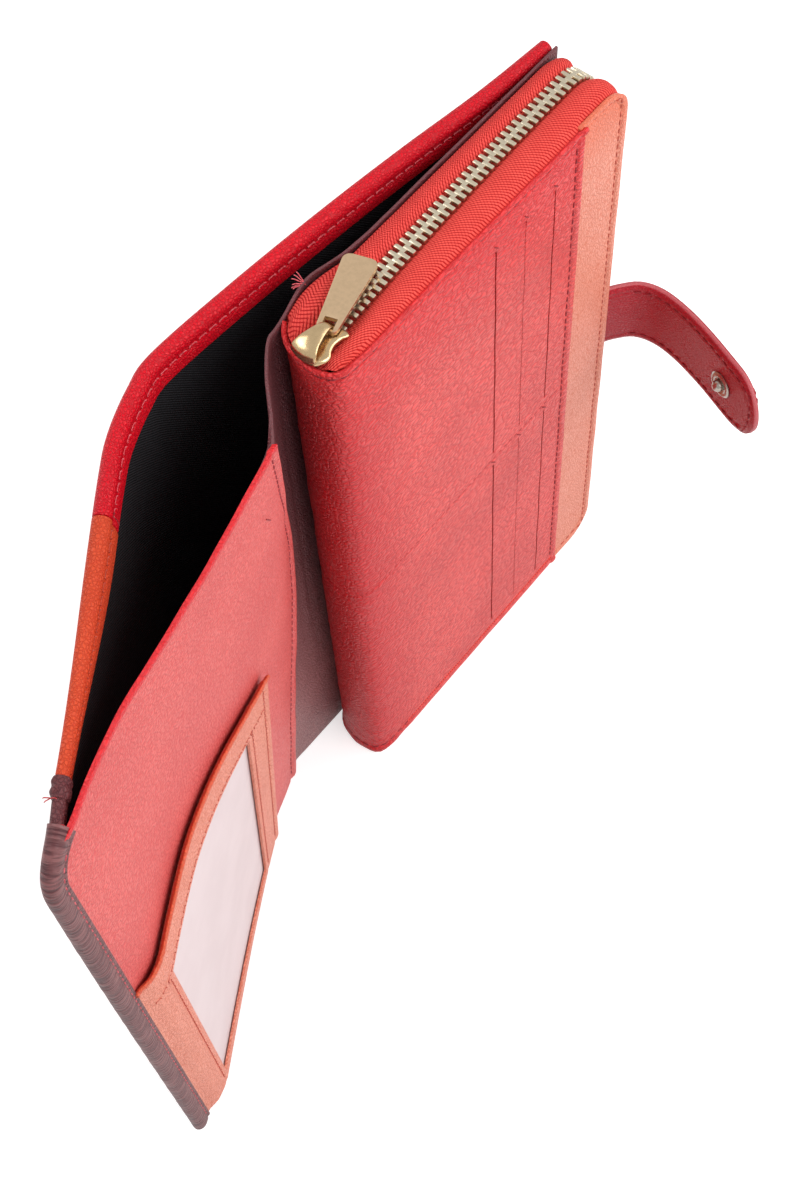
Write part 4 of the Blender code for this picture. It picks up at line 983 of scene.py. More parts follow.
def frame_surface(distance, row):
    z = frame_height(distance, row)
    to_mouth, to_end = mouth_height(distance) - z, FRAME_REACH - distance
    roll = MOUTH_ROLL * rounded(to_mouth, 0.0010, 0.0012)
    rise = np.maximum(np.maximum(lip(to_mouth, 0.9), roll), lip(to_end, 0.9, 0.0003))
    beside_window = (distance - WINDOW_FAR - FAR_SEAM, WINDOW_NEAR - NEAR_SEAM - distance)
    for away in (to_mouth - MOUTH_SEAM, to_end - END_SEAM, *beside_window):
        rise = rise + seam(away, SHALLOW_SEAM)
    under_binding = FRAME_SINK * (1 - smoothstep((distance - INNER_REACH) / 0.0040))
    return inner_skin(distance, z, FRAME_FACE + rise - under_binding)


def leave_out(thing, is_gone):
    """Deletes the faces whose flat place, as its UV map gives it, lies in a hole."""
    only(thing)
    bpy.ops.object.mode_set(mode="EDIT")
    bpy.ops.mesh.select_mode(type="FACE")
    bpy.ops.mesh.select_all(action="DESELECT")
    bpy.ops.object.mode_set(mode="OBJECT")
    layer = thing.data.uv_layers.active.data
    for face in thing.data.polygons:
        spots = [layer[k].uv for k in face.loop_indices]
        face.select = is_gone(*(sum(spot[k] for spot in spots) / len(spots) for k in (0, 1)))
    bpy.ops.object.mode_set(mode="EDIT")
    bpy.ops.mesh.delete(type="FACE")
    bpy.ops.object.mode_set(mode="OBJECT")
    return thing


columns = np.concatenate([
    stations(FRAME_REACH, WINDOW_FAR, 0.001, (FRAME_REACH,), 0.004, 0.0003)[:-1],
    stations(WINDOW_FAR, WINDOW_NEAR, 0.0016)[:-1], stations(WINDOW_NEAR, INNER_REACH - 0.0006, 0.0006),
])
to_mouth_rows = 1 - stations(0, 1, 0.06, (0,), 0.25, 0.02)[::-1]
rows = np.concatenate([np.linspace(0, 1, 6)[:-1], np.linspace(1, 2, 50)[:-1], 2 + to_mouth_rows])
frame_piece = lay_grid("identity_frame", columns, rows, frame_surface)
leave_out(frame_piece, lambda d, r: WINDOW_NEAR < d < WINDOW_FAR and 1 < r < 2)
wall(frame_piece, FRAME_THICK, offset=1.0, rim=0.0002)
flatten(dress(frame_piece, FRAME_ORANGE, "front_cover", "id_pocket_frame"))


def window_surface(distance, share):
    low, high = WINDOW_FOOT - WINDOW_LAP, mouth_height(distance) - FRAME_BAND + WINDOW_LAP
    return inner_skin(distance, low + (high - low) * share, GAP + WINDOW_THICK)


film_columns = stations(WINDOW_FAR + WINDOW_LAP, WINDOW_NEAR - WINDOW_LAP, 0.002)
film = lay_grid("identity_window", film_columns, np.linspace(0, 1, 50), window_surface)
wall(film, WINDOW_THICK, offset=1.0, rim=0)
flatten(dress(film, WINDOW_MILK, "front_cover", "id_window"))

# %% [markdown]
# ## The compartment's front
# One piece of red leather starts behind the compartment's spine, wraps round it and is the front panel. It
# ends at a turned edge over the orange strip. Six card slits are cut in it, and a seam across the middle
# parts the upper cards from the lower ones.

# %% Red front leather
RED_PANEL_REACH = 0.0850
SLIT_PLACES = (0.0535, 0.0642, 0.0750)
SLIT_HEIGHTS = ((0.0068, 0.0923), (0.0977, 0.1782))
WRAP_MM = (
    (5.6, 17.9), (3.0, 15.6), (1.4, 12.9), (0.3, 8.9), (0.3, 5.6), (0.8, 3.1), (2.0, 1.3), (3.8, 0.45),
    (6.4, 0.08), (10.0, 0.0), (20.0, 0.0), (45.0, 0.0), (85.0, 0.0),
)
FRONT_LINE = PlanLine([(x * MM, y * MM) for x, y in WRAP_MM])
FRONT_START = FRONT_LINE.total - RED_PANEL_REACH
TOP_SEAM, FOOT_SEAM, SIDE_SEAM = 0.0032, 0.0029, 0.0024
SLIT_HALVES = (0.00042, 0.00028, 0.00040)
SLIT_SINK, SLIT_RISE = 0.00012, 0.00014
TOP_ROLL = 0.0008


def slit_step(x, z):
    """The small step at each slit, where one card pocket's skin lies over the next."""
    cut = 0.0
    for low, high in SLIT_HEIGHTS:
        inside = smoothstep((z - low) / 0.0008) * smoothstep((high - z) / 0.0008)
        for place in SLIT_PLACES:
            step = np.where(x > place, np.clip(1 - (x - place) / 0.006, 0, 1), 0.0) * SLIT_SINK
            proud = np.where(x < place, np.clip(1 - (place - x) / 0.005, 0, 1), 0.0) * SLIT_RISE
            cut = cut + inside * (step - proud)
    return cut


def front_relief(x, z):
    """Relief of the front leather, outward, for a place x along the front and z up."""
    roll = TOP_ROLL * rounded(HEIGHT - z, 0.0010, 0.0011)
    rise = np.maximum(np.maximum(lip(HEIGHT - z, 0.9), lip(z, 0.9, 0.0003)), roll)
    rise = rise + seam(HEIGHT - z - TOP_SEAM, 0.0003) + seam(z - FOOT_SEAM)
    rise = rise + seam(z - HEIGHT / 2, SHALLOW_SEAM, 0.001)
    right = RED_PANEL_REACH - x
    wrap = 0.00016 * (1 - smoothstep((x - 0.002) / 0.022))
    drawn = np.sin((x * 0.8 + z) * 820 + 2.2 * np.sin(z * 130)) * np.sin((z - x) * 260 + 1.0)
    return rise + 0.7 * lip(right, SIDE_SEAM) - slit_step(x, z) + wrap * drawn + ripple(x, z, 0.00006, 4.0)


def front_surface(distance, z):
    return raised(FRONT_LINE.at(distance, -front_relief(distance - FRONT_START, z)), z)


def with_edges(places, edges):
    """The same columns or rows, with the ones nearest to these edges moved exactly onto them."""
    places = np.array(places)
    for edge in edges:
        places[np.abs(places - edge).argmin()] = edge
    return places


front_total = FRONT_LINE.total
slit_sides = [FRONT_START + x + side * half for x, half in zip(SLIT_PLACES, SLIT_HALVES) for side in (-1, 1)]
front_columns = stations(0.0, front_total, 0.0016, [FRONT_START + x for x in SLIT_PLACES], 0.0009, 0.00014)
front_columns = front_columns[front_columns < front_total - 0.004]
front_columns = np.concatenate([front_columns, stations(front_total - 0.004, front_total, 0.0003)])
front_columns = with_edges(front_columns, slit_sides)
slit_ends = [z for pair in SLIT_HEIGHTS for z in pair]
front_rows = stations(0, HEIGHT, 0.0024, (0, HEIGHT / 2, HEIGHT, *slit_ends), *LIP_STEPS)
front_rows = with_edges(front_rows, slit_ends)


def in_slit(distance, z):
    in_column = any(abs(distance - FRONT_START - x) < half for x, half in zip(SLIT_PLACES, SLIT_HALVES))
    return in_column and any(low < z < high for low, high in SLIT_HEIGHTS)


front = lay_grid("front_leather", front_columns, front_rows, front_surface)
leave_out(front, in_slit)
wall(front, LEATHER, rim=0.0002)
fold_start, fold_end = (ORIGIN + Vector((x, 0, HEIGHT / 2)) for x in (0.0015, 0.0075))
LEAF_FOLD = ("case_and_back", "case_leaf", fold_start, fold_end)
dress(front, FRONT_RED, LEAF_FOLD, "case_spine_wrap", "leaf_red_panel")

# %% [markdown]
# The orange strip runs down the compartment's open side, under the red panel's edge. Its outer corners are
# round. A grid keeps its rows along a round corner when its square corner patch is drawn in to a quarter
# disc, and then the lip can follow the whole outline.

# %% Orange strip
CASE_CORNER = 0.0090
ORANGE_SETBACK = 0.0005
STRIP_SEAM = 0.0022
STRIP_START = RED_PANEL_REACH - 0.0015


def to_disc(u, v):
    """Draws a place in a square patch in to its round disc."""
    return u * np.sqrt(1 - v**2 / 2), v * np.sqrt(1 - u**2 / 2)


def round_corner(x, z):
    """Draws the square outer corners of the compartment's outline in to quarter discs."""
    high = z > HEIGHT / 2
    u = np.clip((x - (CASE_WIDTH - CASE_CORNER)) / CASE_CORNER, 0, 1)
    up = np.where(high, z - (HEIGHT - CASE_CORNER), CASE_CORNER - z)
    v = np.clip(up / CASE_CORNER, 0, 1)
    inside = (u > 0) & (v > 0)
    new_u, new_v = to_disc(u, v)
    new_x = np.where(inside, CASE_WIDTH - CASE_CORNER + CASE_CORNER * new_u, x)
    rise = np.where(high, HEIGHT - CASE_CORNER + CASE_CORNER * new_v, CASE_CORNER - CASE_CORNER * new_v)
    return new_x, np.where(inside, rise, z)


def edge_distance(x, z):
    """Distance inward from the compartment's rounded outline."""
    a, b = CASE_WIDTH - CASE_CORNER - x, np.minimum(z, HEIGHT - z) - CASE_CORNER
    corner = CASE_CORNER - np.hypot(np.minimum(a, 0), np.minimum(b, 0))
    return np.where((a < 0) & (b < 0), corner, np.minimum(a, b) + CASE_CORNER)


def strip_surface(x, z):
    x, z = round_corner(x, z)
    away = edge_distance(x, z)
    rise = lip(away, STRIP_SEAM, 0.0004) + ripple(x, z, 0.00005, 6.0)
    return np.stack([x, ORANGE_SETBACK - rise, z], axis=-1)


strip_columns = stations(STRIP_START, CASE_WIDTH, 0.0015, (CASE_WIDTH,), *LIP_STEPS)
strip_rows = stations(0, HEIGHT, 0.003, (0, HEIGHT), *LIP_STEPS)
strip = lay_grid("orange_strip", strip_columns, strip_rows, strip_surface)
wall(strip, LEATHER)
dress(strip, STRIP_ORANGE, "case_leaf", "leaf_orange_strip")

# %% [markdown]
# ## The zip
# Two red tapes close the compartment. Each tape is tucked under the leather, rises in a hump beside the
# chain and dips under the teeth. The zip runs along the top, round the corner, down the open side and back
# along the bottom.

# %% The zip's run round the compartment
ZIP_START = 0.0052
SIDE_INSET = 0.0006
FOOT_INSET = 0.0018
CHAIN_MIDDLE = 0.0110
CHAIN_START_SETBACK = 0.0033
SLIDE_RISE = 0.0030
TAPE_THICK = 0.0005
TAPE_SPAN = 0.0085
END_FILL = 0.0090
TAPE_TUCK = 0.0011
TAPE_SWELL = 0.0019
TAPE_TURN_IN = 0.0008
TAPE_CROWN = 0.0012
CHAIN_BAND = 0.0042
TAPE_LIFTS = smooth([
    (0.0, -1.0), (0.08, 0.30), (0.26, 0.86), (0.45, 1.0), (0.62, 0.66), (0.74, -0.1), (0.84, -0.95),
    (1.0, -1.0),
])
ZIP_RIGHT = CASE_WIDTH - SIDE_INSET
TOP_RUN = ZIP_RIGHT - CASE_CORNER - ZIP_START
TURN_RUN = CASE_CORNER * math.pi / 2
SIDE_RUN = HEIGHT - FOOT_INSET - 2 * CASE_CORNER
ZIP_LENGTH = 2 * TOP_RUN + 2 * TURN_RUN + SIDE_RUN


def zip_place(distance):
    """Place in X and Z, the way out, and the chain's Y, at a distance along the zip."""
    d = np.asarray(distance, float)
    turn_1 = np.clip((d - TOP_RUN) / TURN_RUN, 0, 1)
    turn_2 = np.clip((d - TOP_RUN - TURN_RUN - SIDE_RUN) / TURN_RUN, 0, 1)
    angle = math.pi / 2 * (1 - turn_1 - turn_2)
    along_top = np.clip(d, 0, TOP_RUN)
    along_side = np.clip(d - TOP_RUN - TURN_RUN, 0, SIDE_RUN)
    along_foot = np.clip(d - TOP_RUN - 2 * TURN_RUN - SIDE_RUN, 0, TOP_RUN)
    out = np.stack([np.cos(angle), np.sin(angle)], axis=-1)
    x = ZIP_START + along_top - along_foot + CASE_CORNER * out[..., 0]
    z = HEIGHT - CASE_CORNER - along_side + CASE_CORNER * out[..., 1]
    on_run = (d < TOP_RUN) | (d > ZIP_LENGTH - TOP_RUN)
    edge = 1 - (ZIP_RIGHT - CASE_CORNER) / CASE_WIDTH
    drift = np.where(on_run, np.maximum(1 - x / CASE_WIDTH - edge, 0) / (1 - edge), 0.0)
    return x, z, out, CHAIN_MIDDLE - CHAIN_START_SETBACK * drift**2


def wrap_inside(y):
    """How far left the tape can lie at this depth, inside the leather that wraps the spine."""
    line = FRONT_LINE.at(np.linspace(0.0, 0.034, 120), LEATHER * 0.6)[::-1]
    return np.interp(np.maximum(y, LEATHER), line[:, 1], line[:, 0])


def tape_profile(share, outside, middle):
    """Place across and lift of a tape: share 0 tucked in at the case, 1 under the chain."""
    side = np.sign(middle - outside)
    room = np.abs(middle - outside) - CHAIN_BAND
    crown = np.minimum(TAPE_CROWN, room * 0.55)
    lift = follow(TAPE_LIFTS, share)
    lift = np.where(lift > 0, lift * crown, lift * TAPE_CROWN)
    inner = np.clip((share - 0.62) / 0.38, 0, 1)
    across = np.where(share < 0.62, share / 0.62 * room, room + inner * CHAIN_BAND)
    across = across - TAPE_TURN_IN * (1 - smoothstep(share / 0.08))
    return outside + side * across, lift


def zip_tape(name, outside, finish, body, *nodes):
    """A tape from its leather, at the depth outside, in to the chain, all along the zip."""

    def surface(distance, share):
        x, z, out, middle = zip_place(distance)
        under_leather = smoothstep((STRIP_START + 0.002 - x) / 0.0025) * (outside < CHAIN_MIDDLE)
        behind = TAPE_SWELL * bump(x, 0.0155, 0.0135) * (z > HEIGHT / 2) * (outside > CHAIN_MIDDLE)
        tuck = TAPE_TUCK * under_leather * (0.5 + 0.5 * smoothstep((x - 0.006) / 0.007))
        y, lift = tape_profile(share, outside - tuck + behind, middle)
        from_end = np.minimum(distance, ZIP_LENGTH - distance)
        x = x + (1 - smoothstep(from_end / END_FILL)) * (wrap_inside(y) - ZIP_START)
        lift = lift - TAPE_CROWN * (1 - smoothstep(from_end / 0.0016))
        lift = lift + ripple(distance * 3, share * 0.01, 0.00003)
        return np.stack([x + lift * out[..., 0], y, z + lift * out[..., 1]], axis=-1)

    along = stations(0, ZIP_LENGTH, 0.0016, (0.0, ZIP_LENGTH), 0.003, 0.0003)
    tape = lay_grid(name, along, np.linspace(0, 1, 30), surface)
    if outside > CHAIN_MIDDLE:
        edit(tape, (bpy.ops.mesh.flip_normals, {}))
    wall(tape, TAPE_THICK, rim=0)
    return dress(tape, finish, body, *nodes)


PLAIN_TAPE = cloth("plain_zip_tape", tone(246, 92, 82), tone(184, 26, 28), 0.00085, 1.0, TAPE_SPAN)
CHEVRON_TAPE = cloth("chevron_zip_tape", tone(240, 84, 76), tone(168, 22, 26), 0.00088, 0.0021, TAPE_SPAN)
zip_tape("front_tape", LEATHER + ORANGE_SETBACK + GAP, PLAIN_TAPE, "case_leaf", "zip_tape_front")
zip_tape("rear_tape", CASE_DEPTH - CLOTH - 2 * GAP, CHEVRON_TAPE, "case_and_back", "zip_tape_rear")

# %% Zip teeth
TOOTH_PITCH = 0.0020
TOOTH_WIDTH = 0.00128
TOOTH_HEIGHT = 0.0015
TOOTH_REACH = 0.0024
TOOTH_LAP = 0.0006
CHAIN_LIFT = -0.0009
CHAIN_START = 0.0112


def metal(name, colour, roughness=0.28):
    dull = tuple(0.86 * v for v in colour)
    return plain(name, colour, dull, 900.0, 0.00001, roughness, spread=0.10, metallic=1.0)


TOOTH_GOLD = metal("tooth_gold", tone(216, 204, 180))
GOLD = metal("pale_gold", tone(208, 180, 138), 0.20)
SATIN_GOLD = metal("satin_gold", tone(214, 184, 148), 0.34)
NICKEL = metal("nickel", tone(170, 162, 152), 0.2)


def make_tooth():
    """One tooth: a rounded bar, waisted at its shank and full at its head. Its head points to -Y."""
    length = TOOTH_REACH + TOOTH_LAP
    bpy.ops.object.select_all(action="DESELECT")
    bpy.ops.mesh.primitive_cube_add(size=1.0)
    tooth = bpy.context.object
    there = Matrix.Translation((0, TOOTH_REACH - length / 2, TOOTH_HEIGHT / 2))
    tooth.data.transform(there @ Matrix.Diagonal((TOOTH_WIDTH, length, TOOTH_HEIGHT, 1)))
    edit(tooth, (bpy.ops.mesh.bisect, dict(plane_co=(0, 0.0012, 0), plane_no=(0, 1, 0))))
    for vertex in tooth.data.vertices:
        if vertex.co.y > 0.001:
            vertex.co.x *= 0.90
    angle = math.radians(40)
    return apply_modifier(tooth, "BEVEL", width=0.00032, segments=2, limit_method="ANGLE", angle_limit=angle)


def copy_at(source, name, places):
    """Copies of a piece at each place, joined in one object with one mesh of their own."""
    points = np.array([v.co for v in source.data.vertices])
    faces = [tuple(face.vertices) for face in source.data.polygons]
    all_points, all_faces = [], []
    for matrix in places:
        base = len(points) * len(all_points)
        m = np.array(matrix)
        all_points.append(points @ m[:3, :3].T + m[:3, 3])
        all_faces += [tuple(base + k for k in face) for face in faces]
    data = bpy.data.meshes.new(name)
    data.from_pydata(np.concatenate(all_points).tolist(), [], all_faces)
    data.update()
    thing = bpy.data.objects.new(name, data)
    bpy.context.scene.collection.objects.link(thing)
    return thing


def frame_of(place, along, up):
    """A matrix whose X runs along and whose Z looks up, at a place."""
    x = Vector(along).normalized()
    z = (Vector(up) - Vector(up).dot(x) * x).normalized()
    return Matrix.Translation(Vector(place) + ORIGIN) @ Matrix((x, z.cross(x), z)).transposed().to_4x4()


def chain_places(offset, flip):
    """Frames of one row's teeth, from the slider's end round to the foot."""
    start = CHAIN_START - ZIP_START + offset
    made = []
    for k in range(int((ZIP_LENGTH - 0.004 - start) / TOOTH_PITCH)):
        x, z, out, y = zip_place(start + k * TOOTH_PITCH)
        up = Vector((out[0], 0.0, out[1]))
        matrix = frame_of(Vector((x, y, z)) + CHAIN_LIFT * up, (out[1], 0.0, -out[0]), up)
        made.append(matrix @ Matrix.Rotation(math.pi, 4, "Z") if flip else matrix)
    return made


tooth = make_tooth()
front_teeth = copy_at(tooth, "front_teeth", chain_places(0.0, True))
rear_teeth = copy_at(tooth, "rear_teeth", chain_places(TOOTH_PITCH / 2, False))
bpy.data.objects.remove(tooth)
dress(front_teeth, TOOTH_GOLD, "case_leaf", "zip_chain_front", angle=35)
dress(rear_teeth, TOOTH_GOLD, "case_and_back", "zip_chain_rear", angle=35)

# %% [markdown]
# The slider is cast: a waisted top plate with short sides, and a hood that rises from its nose, arches over
# and comes down near its tail. The puller is a flat plate that hangs on the hood by a slot. The plate starts
# as a grid laid in rings round its middle, the hood and the puller as grids laid on their own forms.

# %% Slider
SLIDER_PARK = -0.0004
SLIDER_LENGTH = 0.0108
SLIDER_WIDTH = 0.0086
SLIDER_PLATE = 0.0010
SLIDER_SKIRT = 0.00005
SLIDER_SHARES = (
    (1.0, 0.0), (1.0, 0.50), (0.985, 0.80), (0.92, 0.93), (0.78, 0.78), (0.60, 0.72), (0.46, 0.82),
    (0.33, 1.0), (0.20, 0.94), (0.07, 0.70), (0.01, 0.38), (0.0, 0.0),
)
HOOD_MM = (
    (0.8, 0.1, 2.0), (-0.3, 0.8, 2.8), (-0.6, 2.2, 3.2), (0.3, 3.8, 3.1), (2.4, 4.8, 2.5), (5.2, 4.8, 1.8),
    (7.6, 4.2, 1.3), (8.8, 3.0, 1.0), (9.0, 1.9, 0.9), (9.0, 0.9, 0.9),
)
HOOD_THICK = 0.0008
chain_y = CHAIN_MIDDLE - CHAIN_START_SETBACK
chain_turn = Matrix.Rotation(math.atan2(SLIDE_RISE, CASE_WIDTH), 4, "Z")
SLIDER_PLACE = ORIGIN + Vector((SLIDER_PARK, chain_y, HEIGHT + CHAIN_LIFT + TOOTH_HEIGHT + GAP))
SLIDER_FRAME = Matrix.Translation(SLIDER_PLACE) @ chain_turn


def put_at(thing, frame_there):
    """Moves a piece that was laid at the drawing's origin into its own frame, and closes its seams."""
    thing.data.transform(frame_there @ Matrix.Translation(-ORIGIN))
    close = (bpy.ops.mesh.remove_doubles, dict(threshold=0.00001))
    return edit(thing, close, (bpy.ops.mesh.normals_make_consistent, dict(inside=False)))


def turned(name, profile, place, outline=None, steps=40):
    """A closed piece whose rings follow a profile of radius and height; an outline replaces the circle."""
    count = len(profile)
    rings = np.linspace(0, count - 1, 2 * count - 1)

    def surface(angle, ring):
        circle = outline(angle) if outline else np.stack([np.cos(angle), np.sin(angle)], axis=-1)
        radius, height = (np.interp(ring, np.arange(count), values) for values in np.array(profile).T)
        return raised(circle * radius[..., None], height)

    return put_at(lay_grid(name, np.linspace(0, 2 * math.pi, steps + 1), rings, surface), place)


def slider_outline(angle):
    """The slider's plan as a loop round its middle."""
    half = [((a - 0.5) * SLIDER_LENGTH, b * SLIDER_WIDTH / 2) for a, b in SLIDER_SHARES]
    loop = smooth(half + [(x, -y) for x, y in half[-2::-1]])
    share = np.linspace(0, 2 * math.pi, len(loop))
    return np.stack([np.interp(angle, share, loop[:, k]) for k in (0, 1)], axis=-1)


plate_profile = (
    (0.0, SLIDER_PLATE * 1.15), (0.5, SLIDER_PLATE * 1.15), (0.82, SLIDER_PLATE), (0.94, SLIDER_PLATE * 0.8),
    (1.0, SLIDER_PLATE * 0.4), (1.0, -SLIDER_SKIRT), (0.86, -SLIDER_SKIRT), (0.84, 0.0), (0.0, 0.0),
)
middle = Matrix.Translation((SLIDER_LENGTH / 2, 0, 0))
slider = turned("slider_plate", plate_profile, SLIDER_FRAME @ middle, slider_outline, 96)
dress(slider, GOLD, "slider", "slider_body", angle=50)


def hood_surface(along, across):
    line = smooth([(x * MM, z * MM, half * MM) for x, z, half in HOOD_MM])
    share = np.linspace(0, 1, len(line))
    x, z, half = (np.interp(along, share, line[:, k]) for k in (0, 1, 2))
    nose = np.clip(1 - along / 0.45, 0, 1)
    x = x + 0.0014 * nose * across**2
    z = z - 0.0006 * np.sqrt(np.clip(1 - np.abs(2 * along - 0.8), 0, 1)) * across**2
    return np.stack([x, half * across, z], axis=-1)


hood = lay_grid("slider_hood", np.linspace(0, 1, 41), np.linspace(-1, 1, 13), hood_surface)
put_at(hood, SLIDER_FRAME)
wall(hood, HOOD_THICK, rim=0.0002)
dress(hood, GOLD, "slider", slot="slider_body", angle=50)

# %% Puller
PULLER_TURN = math.radians(18.6)
PULLER_TILT = math.radians(-3.0)
PULLER_NEAR = -0.0008
PULLER_FAR = 0.0200
PULLER_NARROW = 0.0046
PULLER_WIDE = 0.0080
PULLER_THICK = 0.0011
PULLER_CORNER = 0.0019
PULLER_SLOT = (-0.0003, 0.0026)
SLOT_HALF = 0.0014
BAR_PLACE = Vector((0.0080, 0.0, SLIDER_PLATE + 0.00115))
PULLER_FRAME = (
    Matrix.Translation(SLIDER_FRAME @ BAR_PLACE)
    @ Matrix.Rotation(PULLER_TURN, 4, "Z") @ Matrix.Rotation(-PULLER_TILT, 4, "Y")
)


def puller_half(x):
    """Half the puller's width, with round corners at its far end and a rounder near end."""
    taper = np.interp(x, (PULLER_NEAR, PULLER_FAR), (PULLER_NARROW / 2, PULLER_WIDE / 2))
    for end, radius in ((PULLER_FAR, PULLER_CORNER), (PULLER_NEAR, 0.0010)):
        inside = np.clip(radius - np.abs(x - end), 0, radius)
        taper = taper - radius + np.sqrt(np.maximum(radius**2 - inside**2, 0))
    return taper


def puller_surface(x, row):
    """Rows to 1 lie beside the slot's width, and from 1 to 2 out to the rim."""
    half = puller_half(x)
    inner = np.minimum(SLOT_HALF, half * 0.7)
    out = np.clip(np.abs(row) - 1, 0, 1) * (half - inner)
    y = np.sign(row) * (np.minimum(np.abs(row), 1) * inner + out)
    return np.stack([x, y, np.full_like(x, PULLER_THICK / 2)], axis=-1)


puller_columns = np.concatenate([
    stations(PULLER_NEAR, PULLER_SLOT[0], 0.0003, (PULLER_NEAR,), 0.001, 0.0001)[:-1],
    np.linspace(*PULLER_SLOT, 5)[:-1],
    stations(PULLER_SLOT[1], PULLER_FAR, 0.0015, (PULLER_FAR,), 0.0022, 0.00015),
])
puller_rows = np.array([-2, -1.7, -1, -0.4, 0.4, 1, 1.7, 2])
puller = lay_grid("puller_plate", puller_columns, puller_rows, puller_surface)
leave_out(puller, lambda x, row: PULLER_SLOT[0] < x < PULLER_SLOT[1] and abs(row) < 1)
put_at(puller, PULLER_FRAME)
wall(puller, PULLER_THICK, rim=0.0003)
dress(puller, SATIN_GOLD, "puller", "puller", angle=40)

# %% [markdown]
# ## Thread
# Every seam is a row of separate stitches. Each is a short thread between two needle holes that lies in the
# groove it has pulled into the leather. One stitch is modelled and copied along a line on the surface.

# %% Stitches along a line on a surface
STITCH = 0.0021
THREAD = 0.00042


def thread_finish(name, light, deep):
    """A twisted thread, lighter where it catches the light."""
    return plain(name, light, deep, 2600.0, 0.0001, 0.6)


def make_stitch(length=STITCH, thick=THREAD):
    """A thread that comes up from a needle hole, lies on the leather and goes down again, along X."""
    bpy.ops.object.select_all(action="DESELECT")
    bpy.ops.mesh.primitive_cylinder_add(vertices=6, radius=thick / 2, depth=length)
    stitch = bpy.context.object
    stitch.data.transform(Matrix.Rotation(math.pi / 2, 4, "Y"))
    for cut in (-0.32 * length, 0.32 * length):
        edit(stitch, (bpy.ops.mesh.bisect, dict(plane_co=(cut, 0, 0), plane_no=(1, 0, 0))))
    for vertex in stitch.data.vertices:
        if abs(vertex.co.x) > 0.4 * length:
            vertex.co.y *= 0.7
            vertex.co.z -= thick * 0.75
    return stitch


def seam_places(surface, path, pitch, side, lift):
    """Frames along a line given in a surface's own places: X along it, and Z off the surface."""
    path = np.asarray(path, float)
    share = np.linspace(0, 1, 1500)
    line = [np.interp(share, np.linspace(0, 1, len(path)), path[:, k]) for k in (0, 1)]
    points = surface(*line)
    run = np.concatenate([[0.0], np.cumsum(np.linalg.norm(np.diff(points, axis=0), axis=1))])
    count = int(run[-1] / pitch)
    marks = (np.arange(count) + 0.5) * run[-1] / count
    a, b = (np.interp(marks, run, values) for values in line)
    place, ahead = (
        np.stack([np.interp(spots, run, points[:, k]) for k in (0, 1, 2)], axis=-1)
        for spots in (marks, marks + 0.0002)
    )
    e = 0.0001
    normal = np.cross(surface(a + e, b) - surface(a - e, b), surface(a, b + e) - surface(a, b - e))
    normal *= side / np.linalg.norm(normal, axis=-1, keepdims=True)
    return [frame_of(p + lift * n, d, n) for p, d, n in zip(place, ahead - place, normal)]


def sew(name, surface, path, thread, body, slot, side=1, pitch=0.0029, lift=0.00008, stitch=None):
    """A row of stitches as one piece."""
    model = make_stitch(*(stitch or (STITCH, THREAD)))
    thing = copy_at(model, name, seam_places(surface, path, pitch, side, lift))
    bpy.data.objects.remove(model)
    return dress(thing, thread, body, slot=slot, angle=50)


DARK_THREAD = thread_finish("dark_red_thread", tone(168, 30, 42), tone(118, 12, 24))
RED_THREAD = thread_finish("red_thread", tone(204, 62, 64), tone(160, 30, 38))
PINK_THREAD = thread_finish("pink_thread", tone(238, 120, 126), tone(196, 60, 74))
RUST_THREAD = thread_finish("rust_thread", tone(206, 92, 70), tone(168, 56, 42))
print("threads", 4)

# %% Seams of the compartment
for name, z in (("top", HEIGHT - TOP_SEAM), ("foot", FOOT_SEAM)):
    sew(f"stitches_front_{name}", front_surface, [(0.004, z), (front_total - 0.002, z)],
        DARK_THREAD, LEAF_FOLD, "leaf_red_panel")
sew("stitches_front_middle", front_surface, [(FRONT_START, HEIGHT / 2), (front_total - 0.004, HEIGHT / 2)],
    RED_THREAD, LEAF_FOLD, "leaf_red_panel", 1, 0.0021, 0.0, (0.0014, 0.0003))
sew("stitches_front_side", front_surface,
    [(front_total - SIDE_SEAM, 0.005), (front_total - SIDE_SEAM, HEIGHT - 0.005)],
    DARK_THREAD, "case_leaf", "leaf_red_panel")


def along_rim(inset):
    """The orange strip's outline at an inset, from top left round to its foot, with square corners."""
    left, right = STRIP_START + 0.005, CASE_WIDTH - inset
    corners = [(left, HEIGHT - inset), (right, HEIGHT - inset), (right, inset), (left, inset)]
    return [
        (a[0] + (b[0] - a[0]) * t, a[1] + (b[1] - a[1]) * t)
        for a, b in zip(corners, corners[1:]) for t in np.linspace(0, 1, 40)
    ]


sew("stitches_strip", strip_surface, along_rim(STRIP_SEAM),
    RUST_THREAD, "case_leaf", "leaf_orange_strip", 1, 0.0026, 0.00004, (0.0018, 0.00034))


def bar_tack(name, surface, path, thread, body, slot, side=1):
    """A bar of close short stitches that locks the end of an opening."""
    return sew(name, surface, path, thread, body, slot, side, 0.00034, 0.00012, (0.0007, 0.0003))


for row, (low, high) in enumerate(SLIT_HEIGHTS):
    for column, x in enumerate(SLIT_PLACES):
        spot = (FRONT_START + x, high + 0.0014)
        path = [(spot[0] - 0.0006, spot[1] + 0.0007), (spot[0] + 0.0006, spot[1] - 0.0007)]
        bar_tack(f"slit_tack_{row + 1}_{column + 1}", front_surface, path,
                 DARK_THREAD, "case_leaf", "leaf_red_panel")

